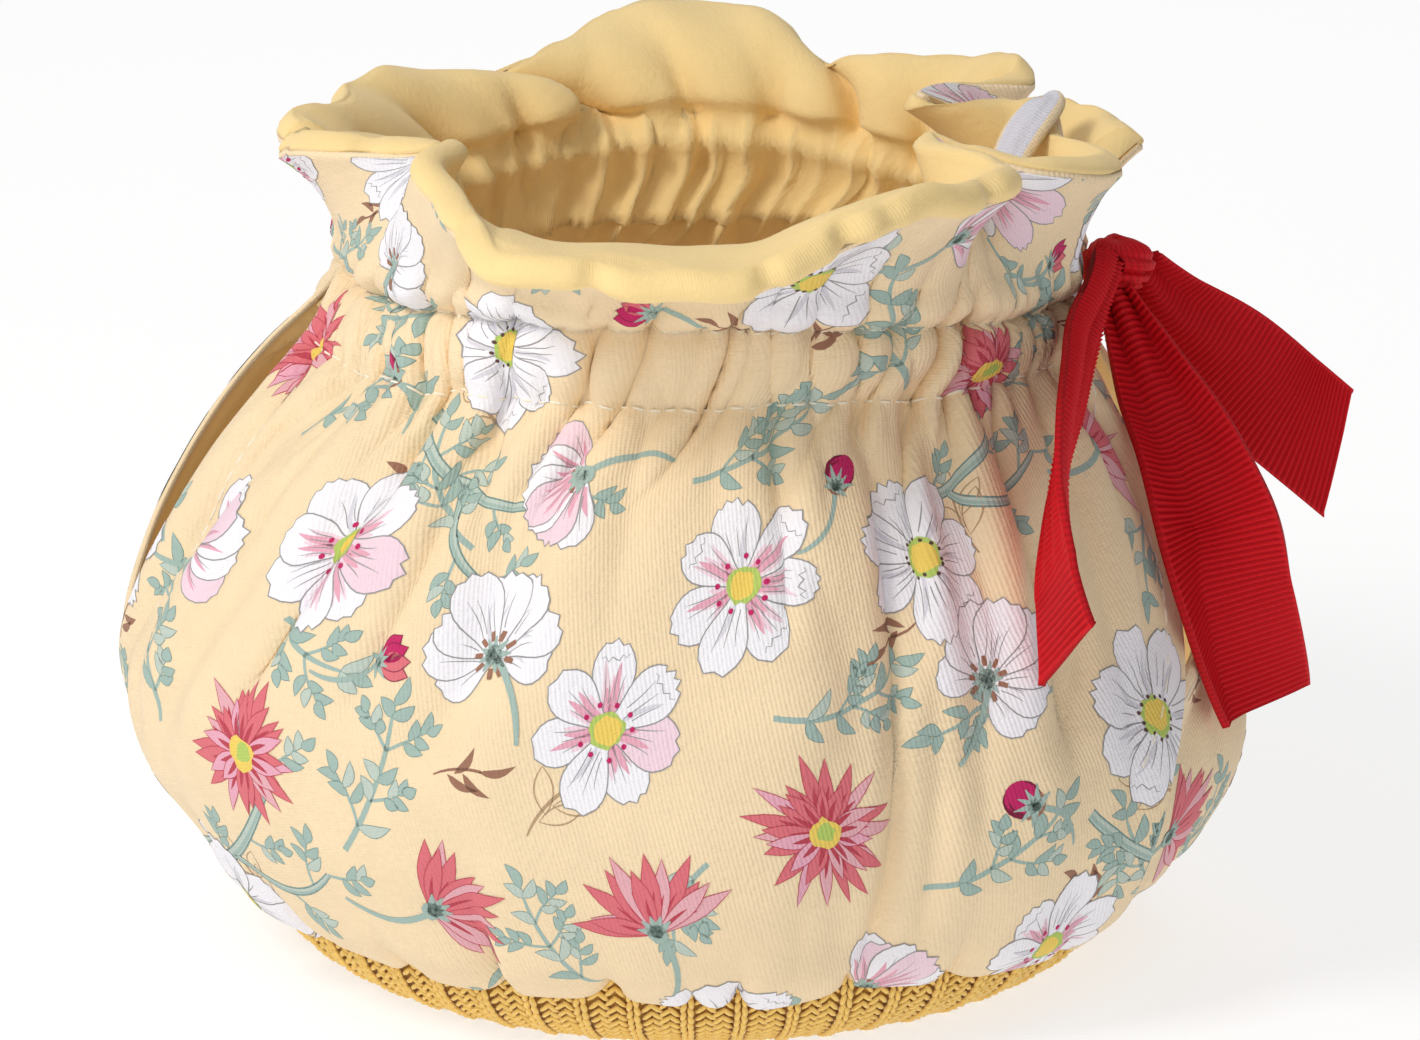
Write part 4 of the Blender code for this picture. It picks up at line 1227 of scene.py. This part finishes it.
def lining_piece(name, cloth, sizes, deep_folds, seed):
    """The padded lining inside the collar, rolled over the printed edge."""
    rng = np.random.default_rng(seed)
    first = int(np.searchsorted(cloth.level, CHANNEL_LOW))
    normals = soften(grid_normals(soften(cloth.inner, 3)), 3)[:, first:]
    outside = cloth.inner[:, first:] - normals * GAP
    x, y = cloth.across[:, None], cloth.up[None, first:]
    share = np.clip((y - CHANNEL_HEAD) / COLLAR_HEIGHT, 0.0, 1.0)
    thick = LINING + (LINING_RIM - LINING) * smooth_step(0.0, 0.8, share)
    above = np.maximum(0.0, y - CHANNEL_HEAD)
    away = np.abs(y - CHANNEL_HEAD)
    drawn = collar_fold_depth(deep_folds, cloth.rim_rows, cloth.across, y)
    drawn = drawn * bell(y - above - CHANNEL_HEAD, 5.0)
    small = make_puckers(rng, cloth.across[-1], LINING_TUCKS)
    drawn += pucker_depth(small, x, away, 7.0)
    waves = soft_waves(rng, x, y * 0.5, 0.6, 16.0, 50.0) * smooth_step(0.0, 8.0, above)
    padded = LINING_PADDING * smooth_step(0.0, 7.0, above) * (1.0 - 0.75 * share)
    smooth = outside - normals * (thick + padded)[..., None]
    for _ in range(12):
        smooth[1:-1] = (smooth[:-2] + 2 * smooth[1:-1] + smooth[2:]) / 4
    space = np.sum((outside - smooth) * normals, axis=-1)
    way_out = unit(soften(normals, 10))
    facing = np.maximum(0.4, np.sum(way_out * normals, axis=-1))
    push = np.minimum(drawn * (1.0 - 0.3 * share) - waves, (space - LINING_SPACE) / facing)
    inside = smooth + way_out * push[..., None]
    thick = np.maximum(LINING_LEAST, np.sum((outside - inside) * normals, axis=-1))

    top = (outside + normals * GAP / 2)[:, -1]
    out = unit(soften(normals[:, -1:], 1))[:, 0]
    rise = outside[:, -1] - outside[:, -5]
    rise = unit(soften(unit(rise)[:, None], 1))[:, 0]
    rise = unit(rise - out * np.sum(rise * out, axis=1, keepdims=True))
    size = table(sizes, cloth.rim_rows)
    pinches = make_puckers(rng, cloth.across[-1], ROLL_PINCHES)
    size = size * (1.0 - pucker_depth(pinches, cloth.across, np.zeros_like(cloth.across)))
    size = size * (1.0 + 0.06 * soft_waves(rng, cloth.across, 0.0, 1.0, 9.0, 30.0))
    section = np.repeat(ROLL_SECTION[None], len(size), axis=0)
    section[..., 0] *= size[:, None]
    section[..., 1] = np.where(section[..., 1] > 0.0, section[..., 1] * size[:, None], section[..., 1])
    section[..., 1] = np.maximum(section[..., 1], -thick[:, -1:] - 0.1)
    roll = top[:, None] + section[..., :1] * rise[:, None] + section[..., 1:] * out[:, None]
    roll[1:-1] = (roll[:-2] + 2 * roll[1:-1] + roll[2:]) / 4
    loops = np.concatenate([inside, roll, outside[:, ::-1]], axis=1)
    run = np.concatenate([y[0], y[0, -1] + ROLL_STEP * np.arange(1, len(ROLL_SECTION) + 1)])
    run = np.concatenate([run, run[-1] + ROLL_TURN + (y[0] - y[0, 0])])
    return swept_piece(name, loops, [lining_cotton], flat_grid(cloth.across, run - run[0]))


lining_front = lining_piece("lining_front_roll", front, FRONT_ROLL, FRONT_COLLAR_FOLDS, seed=31)
lining_back = lining_piece("lining_back_roll", back, BACK_ROLL, BACK_COLLAR_FOLDS, seed=47)
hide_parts("lining_front")
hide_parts("lining_back")


# ---------------------------------------------------------------- threads
YARN_SIDES = 5
STITCH_PITCH, STITCH_LENGTH, STITCH_RADIUS = 3.1, 2.3, 0.22
STITCH_ARCH = np.array([-0.8, 0.6, 1.0, 0.6, -0.8])     # its height over the cloth, from end to end
STITCH_ENDS = np.array([0.45, 1.0, 1.0, 1.0, 0.45])


def tube(middles, side, up, reach):
    """Rings of points round a yarn, each as wide as its own reach."""
    turn = full_turn(YARN_SIDES)[:, None]
    ring = side[..., None, :] * np.cos(turn) + up[..., None, :] * np.sin(turn)
    return (middles[:, None] + ring * reach[:, None, None]).reshape(-1, 3)


def gather_parts(parts):
    """Joins lists of points and faces into one."""
    points, faces, count = [], [], 0
    for some, those in parts:
        points.append(some)
        faces += [[v + count for v in face] for face in those]
        count += len(some)
    return np.concatenate(points), faces


def stitch_line(cloth, line, lift):
    """Stitches along a line of pattern coordinates, lifted to a height over the cloth."""
    wide, tall = cloth.outer.shape[:2]
    line = np.asarray(line, float)
    run = run_along(line)
    normals, faces, parts = cloth_normals(cloth), sweep_faces(len(STITCH_ARCH), YARN_SIDES), []
    for start in np.arange(1.0, run[-1] - STITCH_LENGTH, STITCH_PITCH):
        at = start + np.linspace(0.0, STITCH_LENGTH, len(STITCH_ARCH))
        columns = np.interp(np.interp(at, run, line[:, 0]), cloth.across, np.arange(wide))
        rows = np.interp(np.interp(at, run, line[:, 1]), cloth.up, np.arange(tall))
        places = np.stack([columns, rows], 1)
        path = on_cloth(places, cloth.outer) + unit(on_cloth(places, normals)) * (lift * STITCH_ARCH)[:, None]
        along = unit(np.gradient(path, axis=0))
        lean = (0.0, 0.0, 1.0) if abs(along[len(along) // 2, 2]) < 0.8 else (1.0, 0.0, 0.0)
        side = unit(np.cross(along, lean))
        parts.append((tube(path, side, np.cross(side, along), STITCH_RADIUS * STITCH_ENDS), faces))
    return parts


def stitches(name, cloth):
    """Two rows of stitches round the channel and one up beside each slit."""
    width = cloth.across[-1]
    across = np.linspace(1.5, width - 1.5, 60)
    parts = []
    for height, wave, start, lift in ((CHANNEL_FOOT, 9.0, 0.0, 0.1), (CHANNEL_HEAD, 7.0, 1.0, -0.25)):
        wander = np.full(60, height) + 0.35 * np.sin(across / wave + start)
        parts += stitch_line(cloth, np.stack([across, wander], 1), lift)
    for edge in (SLIT_FURROW[1], width - SLIT_FURROW[1]):
        parts += stitch_line(cloth, [(edge, SLIT_STITCH_FROM), (edge, CHANNEL_FOOT - 2.0)], 0.0)
    points, faces = gather_parts(parts)
    return new_piece(name, points, faces, [thread])


stitches_front = stitches("stitches_front", front)
stitches_back = stitches("stitches_back", back)

# ---------------------------------------------------------------- the knitted band
# The plain body's section, as radius and height, from the opening outwards and back.
KNIT_SECTION = [
    (43.0, 0.2), (50.0, 0.2), (55.5, 0.4), (59.0, 1.0), (62.2, 2.5), (65.4, 4.8), (67.8, 7.8), (68.9, 10.8),
    (68.9, 15.0), (67.4, 15.2), (67.2, 11.0), (66.0, 8.6), (63.2, 6.1), (60.0, 4.2), (55.5, 3.0),
    (46.0, 2.8), (42.5, 1.5),
]
KNIT_OUTER = KNIT_SECTION[2:9]  # the part of the section that carries stitches
KNIT_SEED = 71
KNIT_REPEATS = 52               # ribs round the band
KNIT_ROW = 1.62                 # from one row of stitches to the next
KNIT_SIDES, KNIT_SPACING = 208, 1.6     # mesh of the plain body, round it and along its section
LEG = np.array([-1.0, -0.4, 0.4, 1.0])  # places along one leg of a stitch, and how thick it is there
LEG_SWELL = np.array([0.55, 1.05, 1.05, 0.55])


def stitch_leg(middle, along, out, length, radius):
    """One leg of a knitted stitch: a short bowed yarn."""
    bow = radius * (0.34 * (1.0 - LEG**2) - 0.3)
    path = middle + along * (LEG * length / 2)[:, None] + out * bow[:, None]
    return tube(path, unit(np.cross(along, out)), out, radius * LEG_SWELL)


# One repeat of the rib: where each column of stitches runs, how it leans, how long and thick its legs
# are, how far out they lie and how far up the rows they are shifted.
KnitColumn = namedtuple("KnitColumn", "share lean length radius lift shift")
KNIT_COLUMNS = [
    KnitColumn(0.09, 46.0, 2.5, 0.42, 0.55, 0.0),
    KnitColumn(0.26, -46.0, 2.5, 0.42, 0.45, 0.0),
    KnitColumn(0.42, 46.0, 2.5, 0.42, 0.55, 0.5),
    KnitColumn(0.59, -46.0, 2.5, 0.42, 0.45, 0.5),
    KnitColumn(0.76, 12.0, 2.0, 0.48, 0.85, 0.25),
    KnitColumn(0.89, -12.0, 2.0, 0.48, 0.85, 0.75),
]


def knit_band():
    """The band: a plain turned body and the stitches of its outer side."""
    rng = np.random.default_rng(KNIT_SEED)
    section = KNIT_SECTION + KNIT_SECTION[:1]
    r, z = curve(section, even_places(section, KNIT_SPACING))[:-1].T
    turn = full_turn(KNIT_SIDES)[:, None]
    body = np.stack(np.broadcast_arrays(r * np.cos(turn), r * np.sin(turn), z), -1).reshape(-1, 3)
    parts = [(body, sweep_faces(KNIT_SIDES, len(r), closed=True))]
    plain = len(parts[0][1])
    path = curve(KNIT_OUTER, np.linspace(0.0, len(KNIT_OUTER) - 1.0, 200))
    run = run_along(path)
    each = sweep_faces(len(LEG), YARN_SIDES)

    def on_section(away):
        return np.array([np.interp(away, run, path[:, k]) for k in (0, 1)])

    for row, repeat, column in product(range(int(run[-1] / KNIT_ROW)), range(KNIT_REPEATS), KNIT_COLUMNS):
        away = min(run[-1], (row + 0.5 + column.shift - 0.25) * KNIT_ROW)
        r, z = on_section(away)
        dr, dz = on_section(away + 0.5) - on_section(away - 0.5)
        slope = np.array([dr, dz]) / max(1e-6, math.hypot(dr, dz))
        way = 2.0 * math.pi * (repeat + column.share + rng.uniform(-0.012, 0.012)) / KNIT_REPEATS
        radial = np.array([math.cos(way), math.sin(way), 0.0])
        round_way = np.array([-math.sin(way), math.cos(way), 0.0])
        up = radial * slope[0] + np.array([0.0, 0.0, slope[1]])
        out = np.cross(round_way, up)
        lean = math.radians(column.lean + rng.uniform(-5.0, 5.0))
        along = up * math.cos(lean) + round_way * math.sin(lean)
        middle = radial * r + np.array([0.0, 0.0, z]) + out * column.lift
        length = column.length * rng.uniform(0.92, 1.08)
        parts.append((stitch_leg(middle, along, out, length, column.radius), each))
    points, faces = gather_parts(parts)
    points[:, 2] = np.maximum(points[:, 2], 0.0)
    tones = [0] * plain + [1] * (len(faces) - plain)
    return new_piece("knit_band", points, faces, [knit_shade_body, knit_yarn], tones)


def yarn_material(name, colour):
    """Soft yarn, with fine twisted fibres."""
    made = new_material(name, colour, 0.9, sheen=0.35)
    tree = made.node_tree
    where = node(tree, "TexCoord")
    values = {"Scale": 2600.0, "Detail": 3.0}
    fibre = node(tree, "TexNoise", values, {"Vector": (where, "Object")})
    bump_with(tree, (fibre, "Fac"), 0.5, 0.12)
    return made


# the plain body is dark as painted shade between the stitches, and the stitches are the yarn's own colour
knit_shade_body = yarn_material("knit_shade_body", KNIT_SHADE)
knit_yarn = yarn_material("knit_yarn", KNIT_COLOUR)
knit = knit_band()
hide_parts("knit_base")

# ---------------------------------------------------------------- the ribbon ties
RIBBON = 19.0                   # its width
RIBBON_THICK = 1.0
RIB_PITCH, RIB_HEIGHT = 1.1, 0.3
RIB_STEPS = 5                   # mesh rows to a rib
SELVEDGE = 0.93                 # the ribs end here, as a share of half the width
HALF_WAY = [0.16, 0.32, 0.48, 0.64, 0.8, 0.92, 0.965, 1.0]
RIBBON_ACROSS = np.array([-share for share in HALF_WAY[::-1]] + [0.0] + HALF_WAY)
# Stations of each tail: its middle, the turn and tilt of its width, how far it is spread and its crease.
Station = namedtuple("Station", "x y z turn tilt spread crease")
NARROW_TAIL = [Station(*row) for row in (
    (64.6, -6.5, 111, -66, -40, 0.3, 1), (62.4, -16.5, 107.9, -92, -62, 0.42, 0.8),
    (59.7, -28, 103.4, -82, -66, 0.6, 0.8), (58, -40, 99.2, -80, -60, 0.7, 0.6),
    (56.2, -50, 94.2, -84, -46, 0.8, 0.4), (54.8, -59.4, 87, -92, -28, 0.9, 0.3),
    (54.7, -66.9, 78.3, -106, -12, 1, 0.2), (56.6, -70.4, 66.9, -122, 0, 1, 0),
)]
WIDE_TAIL = [Station(*row) for row in (
    (66.4, -4.6, 105.5, -30, 45, 0.3, 1), (72.1, -14, 94, -20, 25, 0.65, -2.6),
    (77, -23, 86.2, -12, 8, 0.85, -5.4), (81.6, -30, 75.2, -8, 5, 1, -6.6),
    (85.5, -29, 61.2, -24, 5, 1, -5), (90.5, -20, 42.4, -50, 0, 1, -1.4),
)]
BACK_TAIL = [Station(*row) for row in (
    (70, 4.2, 107.6, -25, 46, 0.45, 1), (75.6, 8.5, 98.6, -20, 48, 0.8, 1.4),
    (84.8, 13, 89.8, -18, 48, 1, 1.6), (96, 17.8, 79.4, -16, 46, 1, 1),
    (105.2, 22, 70.6, -14, 45, 1, 0.4),
)]
KNOT_CENTRE = np.array([66.4, -0.6, 109.4])
KNOT_RADII = np.array([6.0, 5.6, 4.8])
KNOT_RINGS, KNOT_SIDES = 72, 96
# Grooves where one turn of the ribbon ends on the next: the height of each, its depth and its width.
KNOT_GROOVES = [(0.62, 0.5, 0.1), (0.1, 1.1, 0.09), (-0.34, 0.7, 0.08), (-0.7, 0.5, 0.08)]


def ribbon_material():
    """Grosgrain: fine warp yarns across the modelled ribs, with painted highlight on the crests and painted
    shade in the grooves.
    """
    made = new_material("grosgrain", RIBBON_COLOUR, 0.6, gloss=0.18)
    tree = made.node_tree
    flat = flat_place(tree)
    bump_with(tree, (bands(tree, flat, "X", 0.35, 0.4), "Fac"), 0.5, 0.05)
    # the colour follows the ribs: a painted highlight on each crest, painted shade in each groove
    colour_with(tree, (bands(tree, flat, "Y", RIB_PITCH), "Fac"), RIB_PAINTED_HIGHLIGHT, RIB_PAINTED_SHADE)
    return made


grosgrain = ribbon_material()


def ribbon_tail(name, stations, folds, crest, cut):
    """A ribbon through its stations, pleated where it is drawn narrow, with ribs across it.

    crest says where its crease lies across it at either end. cut says how far its free end reaches past
    its last station, and how much more or less at the two sides.
    """
    at = even_places([s[:3] for s in stations], RIB_PITCH / RIB_STEPS, 1200)
    path = curve(stations, at)
    middle = path[:, :3]
    along = unit(np.gradient(middle, axis=0))
    turn, tilt = np.radians(path[:, 3]), np.radians(path[:, 4])
    across = np.stack([np.cos(turn) * np.cos(tilt), -np.sin(turn) * np.cos(tilt), np.sin(tilt)], 1)
    face = unit(np.cross(along, across))
    across = unit(np.cross(face, along))
    spread, crease = path[:, 5], path[:, 6]
    side = RIBBON_ACROSS
    run = np.arange(len(middle)) * RIB_PITCH / RIB_STEPS
    rib = RIB_HEIGHT * np.cos(2.0 * math.pi * run / RIB_PITCH)[:, None] * (np.abs(side) < SELVEDGE)[None, :]
    swell = 0.12 * (np.abs(side) > SELVEDGE)[None, :]
    pinched = 1.0 - np.minimum(1.0, spread)
    pleats = 3.4 * np.sqrt(pinched)[:, None] * np.cos(math.pi * folds * side)[None, :] * 0.5
    soft = 0.5 * np.sin(run / 11.0)[:, None] * np.sin(1.7 * side)[None, :]
    soft = soft * np.minimum(1.0, run / 20.0)[:, None]
    line = np.interp(run, [0.0, run[-1]], crest)[:, None]
    from_ridge = np.where(side > line, (side - line) / (1.0 - line), (line - side) / (1.0 + line))
    lift = crease[:, None] * (1.0 - np.sqrt(from_ridge**2 + 0.003)) + pleats + soft
    half = RIBBON / 2 * spread
    rows = middle[:, None] + across[:, None] * (half[:, None] * side[None, :])[..., None]
    rows = rows + face[:, None] * lift[..., None]
    slant = (cut[0] + cut[1] * side)[None, :] * smooth_step(run[-1] - 24.0, run[-1], run)[:, None]
    rows = rows + along[:, None] * slant[..., None]
    out = grid_normals(rows)
    out = out * np.sign(np.sum(out * face[:, None], axis=-1, keepdims=True))
    thick = (RIBBON_THICK / 2 + rib + swell)[..., None]
    top, low = rows + out * thick, rows - out * thick
    loops = np.concatenate([top, low[:, ::-1]], axis=1)
    flat_across = np.concatenate([side * RIBBON / 2, side[::-1] * RIBBON / 2 + RIBBON + 2.0]) + RIBBON
    flat_map = flat_grid(run, flat_across)[:, ::-1]
    return swept_piece(name, loops, [grosgrain], flat_map), run[-1]


for tail_name, stations, folds, crest, cut, node_name in (
    ("ribbon_narrow", NARROW_TAIL, 3.0, (0.0, 0.0), (0.0, 4.2), "ribbon_tail_narrow"),
    ("ribbon_wide", WIDE_TAIL, 2.0, (0.25, -0.75), (0.0, 3.5), "ribbon_tail_wide"),
    ("ribbon_back", BACK_TAIL, 2.0, (0.3, 0.3), (-2.0, -5.5), "ribbon_tail_back"),
):
    piece, tail_length = ribbon_tail(tail_name, stations, folds, crest, cut)
    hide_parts(node_name)


def knot():
    """The pulled knot: creased ribbon wound over itself."""
    polar = np.linspace(0.0, math.pi, KNOT_RINGS + 2)[1:-1, None]
    turn = full_turn(KNOT_SIDES)[None, :]
    height = -np.cos(polar) * np.ones_like(turn)
    leaning = height + 0.4 * np.sin(polar) * np.cos(turn) + 0.12 * np.sin(2.0 * turn)
    groove = sum(-depth * bell(leaning - middle, width) for middle, depth, width in KNOT_GROOVES)
    pleat = 0.25 * np.sin(5.0 * turn + 3.0 * height) * np.sin(polar) ** 2
    ribs = 0.06 * np.cos(leaning * KNOT_RADII[2] * 2.0 * math.pi / RIB_PITCH)
    reach = 1.0 + (groove + pleat + ribs) * np.sin(polar) ** 0.5 / 5.5 + 0.05 * np.sin(3.0 * turn + polar)
    ball = np.stack([np.sin(polar) * np.cos(turn), np.sin(polar) * np.sin(turn), height], -1)
    flat_map = flat_grid(np.linspace(0.0, 16.0, KNOT_RINGS), np.linspace(0.0, 30.0, KNOT_SIDES))
    loops = KNOT_CENTRE + ball * KNOT_RADII * reach[..., None]
    return swept_piece("ribbon_knot_wound", loops, [grosgrain], flat_map)


knot_piece = knot()
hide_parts("ribbon_knot")


# ---------------------------------------------------------------- the turned hem at the handle slit
TAB_SPACING = 0.8
TAB_PETAL = range(1, 7)     # columns of the strip that the petal covers
# Where the strip runs, and its width there.
HEM_TAB = [
    (55.8, 8.0, 133.4, 2.6), (55.8, 5.0, 134.6, 5.2), (53.8, 0.4, 134.0, 7.0),
    (51.0, -5.4, 131.6, 7.2), (48.8, -11.6, 128.2, 6.0), (48.8, -17.0, 123.6, 4.8),
    (51.0, -20.5, 118.2, 4.0), (54.0, -21.5, 113.0, 3.4),
]


def hem_tab():
    """The strip of printed hem that stands up over the lining, with one petal across it."""
    path = curve(HEM_TAB, even_places([row[:3] for row in HEM_TAB], TAB_SPACING))
    middle, width = path[:, :3], path[:, 3]
    along = unit(np.gradient(middle, axis=0))
    across = unit(np.cross(along, np.array([-0.35, -0.75, 0.55])))
    face = unit(np.cross(across, along))
    side = np.linspace(-1.0, 1.0, 9)
    rows = middle[:, None] + across[:, None] * (width[:, None] / 2 * side)[..., None]
    rows = rows + face[:, None] * (0.9 * (1.0 - side**2) + 0.25 * np.sin(9.0 * side + 2.0))[None, :, None]
    top, low = rows + face[:, None] * 0.4, rows - face[:, None] * 0.4
    loops = np.concatenate([top, low[:, ::-1]], axis=1)
    wide, loop = loops.shape[:2]
    tones = [int(k % loop in TAB_PETAL) for k in range((wide - 1) * loop)] + [0, 0]
    flat_map = flat_grid(np.arange(wide) * TAB_SPACING, np.arange(loop) * TAB_SPACING)
    # the white petal is drawn in the darker white_shade ink, as painted shade where the standing tab is
    # shaded
    used = [cotton, ink_materials[INK_INDEX["white_shade"]]]
    return swept_piece("collar_hem_tab", loops, used, flat_map, tones)


tab_piece = hem_tab()


# ---------------------------------------------------------------- camera, light and floor
def stand_in_scene(obj, at, look):
    obj.location = Vector(place(at))
    direction = Vector(place(look)) - obj.location
    obj.rotation_euler = direction.to_track_quat("-Z", "Y").to_euler()
    bpy.context.scene.collection.objects.link(obj)


def soft_light(name, at, size, power, tone=(1.0, 1.0, 1.0)):
    lamp = bpy.data.lights.new(name, "AREA")
    lamp.shape = "SQUARE"
    lamp.size = size
    lamp.energy = power
    lamp.color = tone
    stand_in_scene(bpy.data.objects.new(name, lamp), at, (0.0, 0.0, 70.0))


def make_stage():
    """The camera, the plain floor and the soft studio light."""
    camera = bpy.data.objects.new("camera", bpy.data.cameras.new("camera"))
    camera.data.sensor_width = SENSOR
    camera.data.lens = LENS
    camera.data.clip_end = 20.0
    rise = math.radians(ELEVATION)
    at = np.array(AIM) + DISTANCE * np.array([0.0, -math.cos(rise), math.sin(rise)])
    stand_in_scene(camera, at, AIM)
    bpy.context.scene.camera = camera

    floor_mesh = bpy.data.meshes.new("floor")
    corners = [(x * STAGE_SPAN, y * STAGE_SPAN, 0.0) for x, y in ((-1, -1), (1, -1), (1, 1), (-1, 1))]
    floor_mesh.from_pydata(corners, [], [(0, 1, 2, 3)])
    floor = bpy.data.objects.new("floor", floor_mesh)
    paint = new_material("floor_paint", (0.4, 0.4, 0.4), 0.9)
    glow = {"Emission Color": (1.0, 1.0, 1.0, 1.0), "Emission Strength": 0.68}
    settle(paint.node_tree.nodes["Principled BSDF"], glow)
    floor_mesh.materials.append(paint)
    bpy.context.scene.collection.objects.link(floor)

    world = bpy.data.worlds.new("studio")
    world.use_nodes = True
    tree = world.node_tree
    where = node(tree, "TexCoord")
    side = {1: WORLD_BRIGHT_SIDE}
    along = node(tree, "VectorMath", side, {0: (where, "Generated")}, operation="DOT_PRODUCT")
    reach = {"From Min": -1.0, "To Min": WORLD_DIM, "To Max": WORLD_BRIGHT}
    spread = node(tree, "MapRange", reach, {"Value": (along, "Value")})
    settle(tree.nodes["Background"], {"Color": (1.0, 1.0, 1.0, 1.0)})
    feed(tree, tree.nodes["Background"], {"Strength": (spread, "Result")})
    bpy.context.scene.world = world
    soft_light("key", (-600.0, -500.0, 860.0), 0.3, 5.6, (1.0, 0.985, 0.96))
    soft_light("fill", (-200.0, -1100.0, 260.0), 0.7, 1.3, (0.97, 0.985, 1.0))
    soft_light("back", (60.0, 700.0, 700.0), 0.6, 1.2)
    bpy.context.scene.view_settings.view_transform = "Standard"


make_stage()
